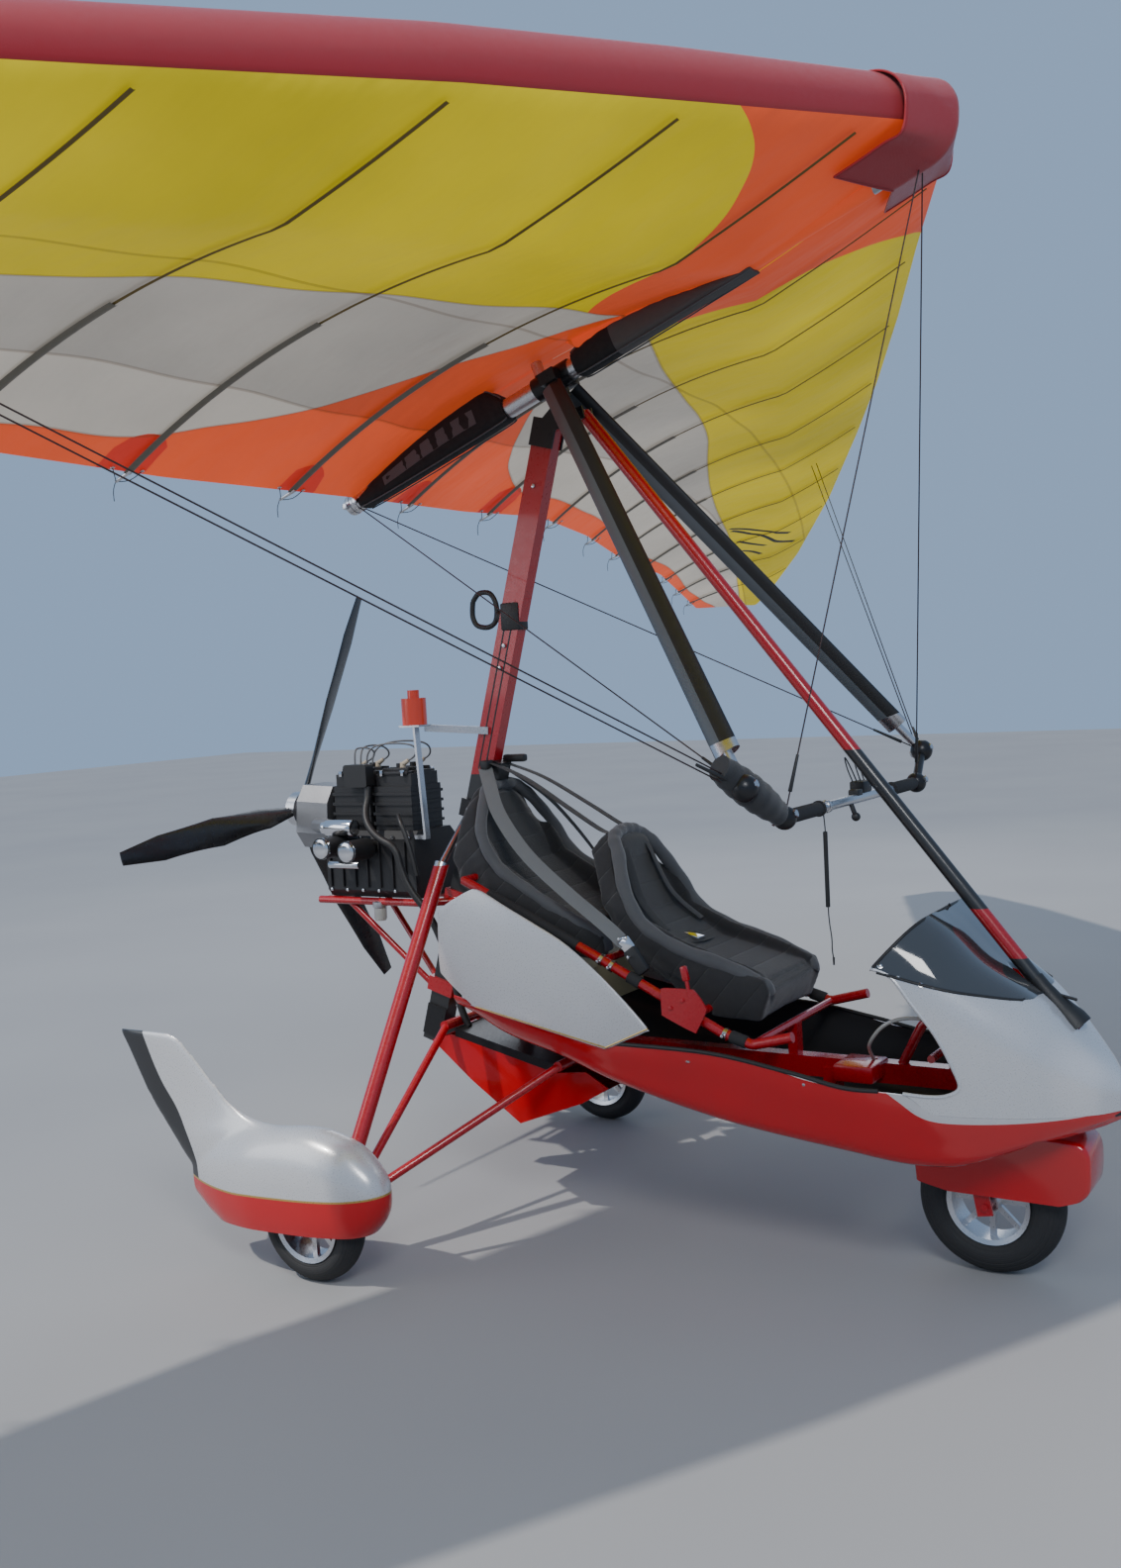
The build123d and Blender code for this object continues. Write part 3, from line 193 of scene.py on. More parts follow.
class Shade:
    """One material and the nodes that make it."""

    def __init__(self, name: str) -> None:
        """Starts a material with a single shader in it.

        Args:
            name: The material's name.
        """
        self.material = bpy.data.materials.new(name)
        self.material.use_nodes = True
        self.tree = self.material.node_tree
        self.shader = self.tree.nodes["Principled BSDF"]
        coords = self.tree.nodes.new("ShaderNodeTexCoord")
        self.place = coords.outputs["Object"]

    def node(self, kind: str, **inputs: object) -> bpy.types.Node:
        """Adds a node and fills its inputs, by name, from values or sockets.

        Args:
            kind: The node's type.
            inputs: Values or sockets, by the input's name.

        Returns:
            The node.
        """
        made = self.tree.nodes.new(kind)
        for key, value in inputs.items():
            self.feed(made.inputs[key], value)
        return made

    def feed(self, socket: Socket, value: object) -> None:
        """Links a socket to another, or sets its value.

        Args:
            socket: The input to fill.
            value: A socket to link, or a value.
        """
        if isinstance(value, Socket):
            self.tree.links.new(value, socket)
        else:
            socket.default_value = value

    def math(self, operation: str, a: object, b: object = 0.0) -> Socket:
        """Result of a sum on two numbers or sockets.

        Args:
            operation: The sum's name.
            a: The first term.
            b: The second term.

        Returns:
            The result.
        """
        made = self.tree.nodes.new("ShaderNodeMath")
        made.operation = operation
        self.feed(made.inputs[0], a)
        self.feed(made.inputs[1], b)
        return made.outputs[0]

    def dot(self, direction: Sequence[float], origin: Sequence[float] = (0, 0, 0)) -> Socket:
        """Distance of each point along a direction from an origin, with both sides folded on the left.

        Args:
            direction: The way to measure.
            origin: Where the distance is nought.

        Returns:
            The distance.
        """
        fold = self.tree.nodes.new("ShaderNodeSeparateXYZ")
        self.feed(fold.inputs[0], self.place)
        joined = self.node("ShaderNodeCombineXYZ", X=fold.outputs[0],
                           Y=self.math("ABSOLUTE", fold.outputs[1]),
                           Z=fold.outputs[2])
        made = self.tree.nodes.new("ShaderNodeVectorMath")
        made.operation = "DOT_PRODUCT"
        self.feed(made.inputs[0], joined.outputs[0])
        made.inputs[1].default_value = tuple(direction)
        return self.math("SUBTRACT", made.outputs["Value"], Vector(direction).dot(Vector(origin)))

    def curve(self, value: object, points: Table) -> Socket:
        """Height of a smooth curve through (u, w) points at a value of u.

        Args:
            value: The value of u.
            points: The (u, w) points.

        Returns:
            The value of w.
        """
        rows = sorted((float(u), float(w)) for u, w in points)
        u0, u1 = rows[0][0], rows[-1][0]
        w0, w1 = min(w for _, w in rows), max(w for _, w in rows)
        reach = max(w1 - w0, 1e-6)
        unit = self.node("ShaderNodeMapRange", Value=value, **{"From Min": u0, "From Max": u1})
        made = self.tree.nodes.new("ShaderNodeFloatCurve")
        self.feed(made.inputs["Value"], unit.outputs[0])
        knots = made.mapping.curves[0].points
        while len(knots) < len(rows):
            knots.new(0.5, 0.5)
        for knot, (u, w) in zip(knots, rows):
            knot.location = ((u - u0) / (u1 - u0), (w - w0) / reach)
            knot.handle_type = "AUTO_CLAMPED"
        made.mapping.update()
        return self.math("ADD", self.math("MULTIPLY", made.outputs[0], reach), w0)

    def mix(self, factor: object, a: object, b: object) -> Socket:
        """Colour between two colours.

        Args:
            factor: The share of b.
            a: The first colour.
            b: The second colour.

        Returns:
            The mixed colour.
        """
        made = self.tree.nodes.new("ShaderNodeMix")
        made.data_type = "RGBA"
        for socket, value in ((made.inputs[0], factor), (made.inputs[6], a), (made.inputs[7], b)):
            self.feed(socket, (*value, 1.0) if isinstance(value, tuple) and len(value) == 3 else value)
        return made.outputs[2]

    def noise(self, scale: float, detail: float = 3.0,
              stretch: Sequence[float] = (1, 1, 1)) -> Socket:
        """Soft random value over the surface.

        Args:
            scale: How fine it is.
            detail: How rough it is.
            stretch: The scale along each axis.

        Returns:
            The value.
        """
        spread = self.node("ShaderNodeMapping", Vector=self.place, Scale=tuple(stretch))
        made = self.node("ShaderNodeTexNoise", Vector=spread.outputs[0], Scale=scale, Detail=detail)
        return made.outputs["Fac"]

    def bump(self, height: object, strength: float, distance: float) -> None:
        """Raises the surface by a height.

        Args:
            height: The height, as a socket.
            strength: How much of it shows.
            distance: The height in metres of a value of one.
        """
        made = self.node("ShaderNodeBump", Height=height, Strength=strength, Distance=distance)
        before = self.shader.inputs["Normal"]
        if before.is_linked:
            self.feed(made.inputs["Normal"], before.links[0].from_socket)
        self.feed(before, made.outputs[0])


@dataclass(frozen=True)
class Seam:
    """An edge between finishes: w against a curve of u, both measured along directions."""

    points: tuple[tuple[float, float], ...]
    u: Point = (1.0, 0.0, 0.0)
    w: Point = (0.0, 0.0, 1.0)
    origin: Point = (AXLE_X, 0.0, 0.0)
    above: bool = False

    def offset(self, shade: Shade) -> Socket:
        """Signed distance past the seam, along w."""
        edge = shade.curve(shade.dot(self.u, self.origin), self.points)
        return shade.math("SUBTRACT", shade.dot(self.w, self.origin), edge)

    def mask(self, shade: Shade) -> Socket:
        """One on the seam's own side, and nought on the other."""
        return shade.math("GREATER_THAN" if self.above else "LESS_THAN", self.offset(shade), 0.0)

    def line(self, shade: Shade, width: float) -> Socket:
        """One within a width of the seam."""
        return shade.math("LESS_THAN", shade.math("ABSOLUTE", self.offset(shade)), width / 2)


@dataclass(frozen=True)
class Region:
    """A part of a surface that lies on the right side of every seam, with its own colour."""

    seams: tuple[Seam, ...]
    colour: Colour
    rough: float = 0.4
    metal: float = 0.0
    line: float = 0.0

    def mask(self, shade: Shade) -> Socket:
        """One inside the region.

        Args:
            shade: The material in the making.

        Returns:
            The mask.
        """
        total = self.seams[0].line(shade, self.line) if self.line else self.seams[0].mask(shade)
        for seam in self.seams[1:]:
            total = shade.math("MULTIPLY", total, seam.mask(shade))
        return total


@dataclass(frozen=True)
class Finish:
    """A painted, moulded or metal surface, with its regions and wear."""

    name: str
    colour: Colour
    rough: float = 0.4
    metal: float = 0.0
    coat: float = 0.0
    tint: float = 0.12
    grain: float = 60.0
    relief: float = 0.0002
    stretch: Point = (1.0, 1.0, 1.0)
    regions: tuple[Region, ...] = ()
    sheen: float = 0.0

    def make(self) -> bpy.types.Material:
        """The material, made once.

        Returns:
            The material.
        """
        known = bpy.data.materials.get(f"{self.name}_finish")
        if known:
            return known
        shade = Shade(f"{self.name}_finish")
        colour: object = self.colour
        rough: object = self.rough
        metal: object = self.metal
        for region in self.regions:
            mask = region.mask(shade)
            colour = shade.mix(mask, colour, region.colour)
            rough = self.blend(shade, mask, rough, region.rough)
            if region.metal != self.metal:
                metal = self.blend(shade, mask, metal, region.metal)
        cloud = shade.noise(7.0, 4.0)
        dark = shade.math("MULTIPLY", shade.math("SUBTRACT", cloud, 0.35), self.tint)
        shade.feed(shade.shader.inputs["Base Color"], shade.mix(dark, colour, (0.02, 0.02, 0.02)))
        fine = shade.noise(self.grain, 5.0, self.stretch)
        spread = shade.math("MULTIPLY", shade.math("SUBTRACT", fine, 0.5), 0.25)
        worn = shade.math("ADD", rough, spread)
        shade.feed(shade.shader.inputs["Roughness"], shade.math("MAXIMUM", worn, 0.04))
        shade.feed(shade.shader.inputs["Metallic"], metal)
        shade.shader.inputs["Coat Weight"].default_value = self.coat
        shade.shader.inputs["Coat Roughness"].default_value = 0.06
        shade.shader.inputs["Sheen Weight"].default_value = self.sheen
        if self.relief:
            shade.bump(fine, 0.5, self.relief)
        self.extra(shade)
        return shade.material

    def blend(self, shade: Shade, mask: object, a: object, b: object) -> Socket:
        """Number between two numbers by a mask."""
        step = shade.math("MULTIPLY", shade.math("SUBTRACT", b, a), mask)
        return shade.math("ADD", a, step)

    def extra(self, shade: Shade) -> None:
        """Relief of a special finish."""


@dataclass(frozen=True)
class Woven(Finish):
    """Cloth or webbing with a weave along two directions."""

    pitch: float = 0.0012
    depth: float = 0.0003

    def extra(self, shade: Shade) -> None:
        """Threads that cross.

        Args:
            shade: The material in the making.
        """
        turns = 2 * math.pi / self.pitch
        parts = shade.tree.nodes.new("ShaderNodeSeparateXYZ")
        shade.feed(parts.inputs[0], shade.place)
        waves = [shade.math("SINE", shade.math("MULTIPLY", shade.math("ADD", a, b), turns * 0.5))
                 for a, b in ((parts.outputs[0], parts.outputs[1]), (parts.outputs[2], parts.outputs[1]))]
        shade.bump(shade.math("MULTIPLY", waves[0], waves[1]), 0.6, self.depth)


@dataclass(frozen=True)
class Quilted(Woven):
    """Padded cloth with sewn channels across it."""

    channel: float = 0.075

    def extra(self, shade: Shade) -> None:
        """Threads, and channels by height and length.

        Args:
            shade: The material in the making.
        """
        super().extra(shade)
        run = shade.dot((0.75, 0.0, -0.66))
        wave = shade.math("ABSOLUTE", shade.math("SINE", shade.math("MULTIPLY", run, math.pi / self.channel)))
        shade.bump(shade.math("POWER", wave, 0.35), 0.7, 0.006)


def across(*points: tuple[float, float], above: bool = False) -> Seam:
    """Seam on the sail given as (y, c) points: c against y."""
    return Seam(points, u=tuple(SPAN), w=tuple(ALONG), origin=tuple(HANG), above=above)


def beside(*points: tuple[float, float], above: bool = False) -> Seam:
    """Seam on the sail given as (c, y) points: y against c."""
    return Seam(points, u=tuple(ALONG), w=tuple(SPAN), origin=tuple(HANG), above=above)


def heights(*points: tuple[float, float], above: bool = False) -> Seam:
    """Seam on the hull given as (station, height) points."""
    return Seam(points, above=above)


def band(z: float, above: bool = False) -> Seam:
    """Seam on the hull at one height."""
    return heights((-2.0, z), (3.0, z), above=above)


@dataclass(frozen=True)
class SailCloth(Finish):
    """Thin sailcloth with its sewn seams, and a painted glow that stands in for the light coming through it.
    """

    # Strength of the painted glow that stands in for light coming through the cloth.
    glow: float = 0.3
    sewn: tuple[Seam, ...] = ()
    # Seam behind which the painted glow is brighter, where the cloth is single.
    pale: Seam | None = None

    def extra(self, shade: Shade) -> None:
        """Panel seams, ripples, and a painted glow that stands in for the light coming through.

        Args:
            shade: The material in the making.
        """
        shade.bump(shade.noise(4.0, 2.0, (1.0, 2.2, 1.0)), 0.6, 0.03)
        colour = shade.shader.inputs["Base Color"].links[0].from_socket
        for seam in self.sewn:
            line = seam.line(shade, 0.012)
            shade.bump(line, 0.6, 0.002)
            colour = shade.mix(shade.math("MULTIPLY", line, 0.35), colour, (0.12, 0.05, 0.01))
        # Painted light: the cloth glows in its own colour, unevenly, standing in for the sunlight that comes
        # through it.
        light = shade.noise(1.1, 2.0)
        # Behind the pale seam the painted glow is brighter, where the cloth is single.
        if self.pale:
            light = shade.math("ADD", light, shade.math("MULTIPLY", self.pale.mask(shade), 0.35))
        shade.feed(shade.shader.inputs["Base Color"], colour)
        shade.feed(shade.shader.inputs["Emission Color"], colour)
        shade.feed(shade.shader.inputs["Emission Strength"], shade.math("MULTIPLY", light, self.glow * 2))


@dataclass(frozen=True)
class Tread(Finish):
    """Rubber with ribs round the tread and rings on the wall."""

    centre: Point = (0.0, 0.0, 0.0)
    ring_rate: float = 520.0
    rib_rate: float = 560.0

    def extra(self, shade: Shade) -> None:
        """Ribs by distance along the axle, and rings by distance from it.

        Args:
            shade: The material in the making.
        """
        parts = shade.tree.nodes.new("ShaderNodeSeparateXYZ")
        shade.feed(parts.inputs[0], shade.place)
        x, y, z = (shade.math("SUBTRACT", parts.outputs[k], self.centre[k]) for k in range(3))
        far = shade.math("SQRT", shade.math("ADD", shade.math("MULTIPLY", x, x),
                                            shade.math("MULTIPLY", z, z)))
        rings = shade.math("SINE", shade.math("MULTIPLY", far, self.ring_rate))
        ribs = shade.math("SINE", shade.math("MULTIPLY", y, self.rib_rate))
        shade.bump(shade.math("POWER", shade.math("ABSOLUTE", rings), 0.4), 0.5, 0.0012)
        shade.bump(shade.math("POWER", shade.math("ABSOLUTE", ribs), 0.3), 0.6, 0.0025)


RED = (0.40, 0.002, 0.008)
SHELL_RED = (0.50, 0.002, 0.006)
MAROON = (0.36, 0.002, 0.010)
SILVER = (0.60, 0.60, 0.61)
BLACK = (0.012, 0.012, 0.013)
YELLOW = (0.72, 0.56, 0.0)
CREAM = (0.50, 0.46, 0.40)
ORANGE = (0.84, 0.10, 0.025)

YELLOW_REAR = ((0.0, 0.32), (0.15, 0.279), (0.29, 0.229), (0.74, 0.059), (1.10, -0.052), (1.61, -0.221),
               (2.255, -0.54), (2.907, -0.833), (3.744, -1.167), (5.5, -2.0))
YELLOW_ARC = ((0.20, 0.13), (0.314, 0.20), (0.545, 0.255), (0.686, 0.285), (0.808, 0.325), (0.913, 0.400),
              (0.991, 0.480), (1.047, 0.590), (1.080, 0.740), (1.12, 0.90))
REAR_STRIP = ((0.0, 0.36), (0.10, 0.22), (0.20, -0.03), (0.33, -0.25), (0.46, -0.42), (0.60, -0.57),
              (0.80, -0.72), (1.05, -0.83), (1.4, -0.875), (1.8, -0.975), (2.1, -1.06), (2.8, -1.33),
              (3.7, -1.56), (4.6, -1.89), (5.5, -2.12))
DOUBLE_EDGE = ((0.0, -0.48), (0.6, -0.53), (1.4, -0.57), (2.1, -0.70), (2.8, -0.86), (3.7, -1.16),
               (5.5, -1.95))
BATTEN_PATCH = ((0.0, -3.0), (0.205, -3.0), (0.215, -0.86), (0.25, -0.79), (0.30, -0.765), (0.35, -0.79),
                (0.385, -0.86), (0.395, -3.0), (0.855, -3.0), (0.865, -0.89), (0.90, -0.82), (0.96, -0.795),
                (1.02, -0.82), (1.055, -0.89), (1.065, -3.0), (5.5, -3.0))
WAVES = (((3.46, -1.030), (3.56, -1.005), (3.68, -0.972), (3.80, -0.915), (3.93, -0.885)),
         ((3.53, -1.052), (3.70, -1.030), (3.85, -0.992), (4.03, -1.002), (4.22, -0.985)),
         ((3.78, -1.138), (3.88, -1.118), (4.02, -1.085)), ((4.00, -1.225), (4.10, -1.205), (4.20, -1.200)))
YELLOW_STRIP = ((0.0, 0.12), (0.81, 0.015), (1.30, -0.036), (1.41, -0.053), (1.93, -0.153), (5.5, -1.4))


def finishes() -> dict[str, Finish]:
    """Every finish, by name.

    Returns:
        The finishes.
    """
    spat_seam = heights((-0.52, 0.262), (-0.40, 0.250), (-0.30, 0.249), (-0.171, 0.256), (0.024, 0.268),
                        (0.173, 0.280), (0.30, 0.296))
    spat_back = heights((-0.80, 0.96), (-0.667, 0.689), (-0.604, 0.561), (-0.508, 0.429), (-0.438, 0.265),
                        (-0.43, 0.05))
    moulded = {"rough": 0.3, "metal": 0.3, "coat": 0.5, "tint": 0.06, "grain": 220.0, "relief": 0.00002}
    rows = (
        Finish("red_paint", RED, rough=0.28, coat=0.5, tint=0.25),
        Finish("mast_paint", RED, rough=0.3, coat=0.4, tint=0.2,
               regions=(Region((band(1.43),), BLACK, 0.35),)),
        Finish("strut_paint", RED, rough=0.28, coat=0.5, regions=(
            Region((band(1.484),), BLACK, 0.45),
            Region((band(1.032),), RED, 0.28),
            Region((band(0.898),), BLACK, 0.45))),
        Finish("tub_shell", SHELL_RED, rough=0.2, coat=0.7, tint=0.2, grain=24.0, relief=0.0001, regions=(
            Region((heights((1.30, 5.0), (1.42, 0.66), (1.55, 0.60), (1.612, 0.557), (1.66, 0.522),
                            (1.715, 0.506), (1.80, 0.503), (2.00, 0.510), (2.20, 0.530), above=True),),
                   SILVER, 0.3, 0.35),)),
        Finish("leg_paint", RED, rough=0.28, coat=0.5,
               regions=(Region((band(1.155, above=True),), SILVER, 0.22, 1.0),)),
        Finish("black_paint", BLACK, rough=0.35, tint=0.3),
        Finish("red_shell", SHELL_RED, rough=0.2, coat=0.7, tint=0.2, grain=24.0, relief=0.0001),
        Finish("silver_shell", SILVER, **moulded),
        Finish("spat_shell", SILVER, **moulded, regions=(
            Region((spat_back,), BLACK, 0.4),
            Region((spat_seam,), SHELL_RED, 0.2),
            Region((spat_seam,), (0.55, 0.36, 0.10), 0.3, 0.6, line=0.006))),
        Finish("engine_metal", (0.028, 0.028, 0.03), rough=0.5, metal=0.3, tint=0.3, grain=180.0,
               relief=0.0006),
        Finish("bare_alloy", (0.62, 0.62, 0.64), rough=0.3, metal=1.0, tint=0.25, grain=90.0,
               stretch=(1, 14, 1)),
        Finish("cast_alloy", (0.30, 0.30, 0.31), rough=0.42, metal=0.8, tint=0.5, grain=160.0, relief=0.0006),
        Finish("black_alloy", (0.02, 0.02, 0.022), rough=0.32, metal=0.4, tint=0.3, grain=140.0),
        Finish("grey_fairing", (0.10, 0.115, 0.13), rough=0.42, metal=0.1, tint=0.3, grain=40.0, regions=(
            Region((Seam(((-1.50, 0.448), (-0.03, 0.014)), tuple(UPRIGHT), tuple(ALONG), tuple(HANG), True),),
                   BLACK, 0.4),
            Region((Seam(((-5, -1.345), (5, -1.345)), tuple(SPAN), tuple(UPRIGHT), tuple(HANG)),),
                   (0.6, 0.6, 0.62), 0.25, 1.0),)),
        Finish("steel_wire", (0.05, 0.03, 0.03), rough=0.4, metal=0.5, grain=400.0),
        Finish("bolt_steel", (0.55, 0.55, 0.57), rough=0.25, metal=1.0),
        Finish("gold_anodised", (0.55, 0.38, 0.14), rough=0.3, metal=0.9),
        Finish("filter_chrome", (0.72, 0.72, 0.74), rough=0.12, metal=1.0, tint=0.2),
        Finish("black_plastic", (0.016, 0.016, 0.017), rough=0.5, grain=300.0, relief=0.0003),
        Finish("blade", (0.012, 0.012, 0.013), rough=0.3, tint=0.3, coat=0.3),
        Finish("tank", (0.55, 0.48, 0.26), rough=0.4, tint=0.2),
        Finish("bottle", (0.72, 0.06, 0.02), rough=0.2, coat=0.4),
        Finish("smoked_screen", (0.045, 0.047, 0.05), rough=0.08, coat=1.0, tint=0.1, relief=0.0),
        Finish("foam_sleeve", (0.02, 0.02, 0.021), rough=0.85, grain=200.0, relief=0.0008),
        Finish("tan_cap", (0.42, 0.36, 0.27), rough=0.5),
        Woven("keel_fabric", BLACK, rough=0.85, regions=(
            Region((across((-1.0, 0.25), (1.0, 0.25), above=True),), (0.085, 0.080, 0.078), 0.8),)),
        Finish("lead_grey", (0.13, 0.13, 0.135), rough=0.5),
        Finish("clear_hose", (0.45, 0.44, 0.40), rough=0.15, coat=0.6),
        Woven("dark_fabric", (0.014, 0.015, 0.018), rough=0.85, sheen=0.3),
        Woven("maroon_cloth", MAROON, rough=0.5, sheen=0.25, coat=0.1),
        Woven("grey_webbing", (0.15, 0.16, 0.165), rough=0.75, sheen=0.3, pitch=0.003, depth=0.0006),
        Woven("black_webbing", (0.015, 0.015, 0.016), rough=0.75, sheen=0.2, pitch=0.003, depth=0.0006),
        Woven("bolster_cloth", (0.075, 0.078, 0.085), rough=0.75, sheen=0.3),
        Woven("batten_cloth", (0.17, 0.15, 0.11), rough=0.7, sheen=0.2),
        Woven("batten_shadow", (0.16, 0.105, 0.02), rough=0.7),
        Quilted("seat_cloth", (0.016, 0.016, 0.018), rough=0.8, sheen=0.3),
        SailCloth("sailcloth", ORANGE, rough=0.6, tint=0.1, grain=900.0, relief=0.0001, regions=(
            Region((across(*YELLOW_REAR), across(*REAR_STRIP, above=True)), CREAM, 0.6),
            Region((across(*YELLOW_REAR, above=True), beside(*YELLOW_ARC, above=True)), YELLOW, 0.6),
            Region((across(*BATTEN_PATCH),), (0.60, 0.030, 0.014), 0.6),
            *(Region((across(*wave), beside((-3.0, wave[0][0]), (3.0, wave[0][0]), above=True),
                      beside((-3.0, wave[-1][0]), (3.0, wave[-1][0]))), BLACK, 0.6, line=0.028)
              for wave in WAVES)),
            sewn=(across(*YELLOW_REAR), across(*REAR_STRIP), across(*DOUBLE_EDGE), across(*YELLOW_STRIP)),
            # Behind the double edge the cloth is single, and its painted glow is brighter.
            pale=across(*DOUBLE_EDGE)),
    )
    return {row.name: row for row in rows}


FINISHES = finishes()


def dress(piece: Piece, *names: str) -> Piece:
    """Gives a piece its finishes, in the order of its material slots.

    Args:
        piece: The object to dress.
        names: The finishes.

    Returns:
        The same object.
    """
    made = [FINISHES[name].make() for name in names]
    for material in made[len(piece.material_slots):]:
        piece.data.materials.append(material)
    for k, slot in enumerate(piece.material_slots):
        slot.material = made[min(k, len(made) - 1)]
    return piece


# Modelling


def toward(direction: Vector, place: Vector) -> Matrix:
    """Matrix that stands local Z along a direction at a place."""
    return Matrix.Translation(place) @ direction.to_track_quat("Z", "Y").to_matrix().to_4x4()


class Form:
    """A mesh in the making, shaped by operators."""

    def __init__(self) -> None:
        """Starts empty."""
        self.bm = bmesh.new()

    def faces_of(self, verts: Iterable[Vert]) -> list[bmesh.types.BMFace]:
        """Faces that touch some vertices."""
        return list({face for vert in verts for face in vert.link_faces})

    def soften(self, edges: Iterable[bmesh.types.BMEdge], width: float, segments: int = 2) -> None:
        """Rounds edges."""
        bmesh.ops.bevel(self.bm, geom=list(edges), offset=width, offset_type="OFFSET", segments=segments,
                        profile=0.5, affect="EDGES", clamp_overlap=True, material=-1)

    def rod(self, a: Vector, b: Vector, radius: float, end: float | None = None, steps: int = 20,
            soft: float = 0.0) -> None:
        """Round bar or cone between two points.

        Args:
            a: The centre of the first end.
            b: The centre of the other end.
            radius: The radius at a.
            end: The radius at b, if it differs.
            steps: How many sides it has.
            soft: The rounding of its rims.
        """
        run = b - a
        made = bmesh.ops.create_cone(self.bm, cap_ends=True, segments=steps, radius1=radius,
                                     radius2=radius if end is None else end, depth=run.length,
                                     matrix=toward(run, (a + b) / 2))
        caps = [face for face in self.faces_of(made["verts"]) if len(face.verts) == steps and steps > 4]
        if soft and caps:
            self.soften({edge for face in caps for edge in face.edges}, soft)

    def ball(self, centre: Vector, radius: float, scale: Sequence[float] = (1, 1, 1),
             steps: int = 20) -> None:
        """Ball, or an egg when scaled.

        Args:
            centre: Its centre.
            radius: Its radius before scaling.
            scale: The scale along each axis.
            steps: How many sides go round it.
        """
        matrix = Matrix.Translation(centre) @ Matrix.Diagonal((*scale, 1.0))
        bmesh.ops.create_uvsphere(self.bm, u_segments=steps, v_segments=steps // 2, radius=radius,
                                  matrix=matrix)

    def block(self, centre: Vector, size: Sequence[float], soft: float = 0.002,
              turn: Matrix | None = None) -> None:
        """Box with rounded edges.

        Args:
            centre: Its centre.
            size: Its three sizes.
            soft: The rounding of its edges.
            turn: How it is turned about its centre.
        """
        matrix = Matrix.Translation(centre) @ (turn or Matrix.Identity(4)) @ Matrix.Diagonal((*size, 1.0))
        made = bmesh.ops.create_cube(self.bm, size=1.0, matrix=matrix)
        faces = self.faces_of(made["verts"])
        if soft:
            self.soften({edge for face in faces for edge in face.edges}, soft)

    def slab(self, outline: Sequence[Vector], shift: Vector, soft: float = 0.0) -> None:
        """Plate of a flat outline, pushed along a vector.

        Args:
            outline: The corners of the outline in order.
            shift: How far the plate is thick, and which way.
            soft: The rounding of its rims.
        """
        verts = [self.bm.verts.new(point) for point in outline]
        face = self.bm.faces.new(verts)
        made = bmesh.ops.extrude_face_region(self.bm, geom=[face])
        moved = [item for item in made["geom"] if isinstance(item, Vert)]
        bmesh.ops.translate(self.bm, verts=moved, vec=shift)
        back = self.bm.faces.get(verts) or self.bm.faces.new(verts)
        faces = self.faces_of(verts + moved)
        bmesh.ops.recalc_face_normals(self.bm, faces=list(set(faces) | {back}))
        if soft:
            rims = {edge for item in faces if len(item.verts) == len(outline) for edge in item.edges}
            self.soften(rims, soft)

    def lathe(self, profile: Sequence[tuple[float, float]], centre: Vector, axis: Vector,
              steps: int = 32) -> None:
        """Turned shape.

        Args:
            profile: Points of (radius, distance along the axis).
            centre: The origin of the turning.
            axis: The axis of the turning.
            steps: How many sides a turn has.
        """
        frame = toward(axis, centre)
        verts = [self.bm.verts.new(frame @ Vector((r, 0.0, h))) for r, h in profile]
        edges = [self.bm.edges.new(pair) for pair in zip(verts, verts[1:])]
        made = bmesh.ops.spin(self.bm, geom=verts + edges, cent=centre, axis=axis.normalized(),
                              dvec=(0, 0, 0),
                              angle=2 * math.pi, steps=steps, use_merge=True, use_duplicate=False)
        last = {item for item in made["geom_last"] if isinstance(item, Vert)}
        region = self.reach(last | {vert for vert in verts if vert.is_valid})
        bmesh.ops.remove_doubles(self.bm, verts=list(region), dist=1e-6)
        faces = self.faces_of([vert for vert in region if vert.is_valid])
        bmesh.ops.recalc_face_normals(self.bm, faces=faces)

    def reach(self, start: Iterable[Vert]) -> set[Vert]:
        """Every vertex joined to some vertices by edges.

        Args:
            start: The vertices to start from.

        Returns:
            All that they are joined to.
        """
        found = set(start)
        front = list(found)
        while front:
            for edge in front.pop().link_edges:
                for vert in edge.verts:
                    if vert not in found:
                        found.add(vert)
                        front.append(vert)
        return found

    def tube(self, points: Sequence[Vector], radius: float | Callable[[float], float], steps: int = 10,
             flat: tuple[float, float] = (1.0, 1.0), up: Vector | None = None) -> None:
        """Bar that follows a path.

        Args:
            points: The path.
            radius: The radius, or the radius at a share of the path.
            steps: How many sides it has.
            flat: How its section is scaled across and upwards.
            up: Which way the section's second axis points.
        """
        rings = []
        side = None
        last = len(points) - 1
        for k, point in enumerate(points):
            run = (points[min(k + 1, last)] - points[max(k - 1, 0)]).normalized()
            if up is not None:
                side = up.cross(run).normalized()
            elif side is None:
                side = run.orthogonal().normalized()
            else:
                side = (side - run * side.dot(run)).normalized()
            rise = run.cross(side)
            r = radius(k / last) if callable(radius) else radius
            matrix = Matrix((side * r * flat[0], rise * r * flat[1], run)).transposed().to_4x4()
            matrix.translation = point
            made = bmesh.ops.create_circle(self.bm, cap_ends=False, segments=steps, radius=1.0, matrix=matrix)
            rings.append(made["verts"])
        self.bridge(rings)

    def loft(self, sections: Sequence[tuple[Vector, Vector, Vector]], power: float = 2.0,
             steps: int = 24) -> None:
        """Closed shape through rounded sections.

        Args:
            sections: The centre, half width and half height of each section, as vectors.
            power: How square the sections are, from 2 for an ellipse.
            steps: How many sides a section has.
        """
        rings = []
        for centre, half, tall in sections:
            made = bmesh.ops.create_circle(self.bm, cap_ends=False, segments=steps, radius=1.0)
            for vert in made["verts"]:
                a, b = vert.co.x, vert.co.y
                a, b = (math.copysign(abs(value) ** (2 / power), value) for value in (a, b))
                vert.co = centre + half * a + tall * b
            rings.append(made["verts"])
        self.bridge(rings)

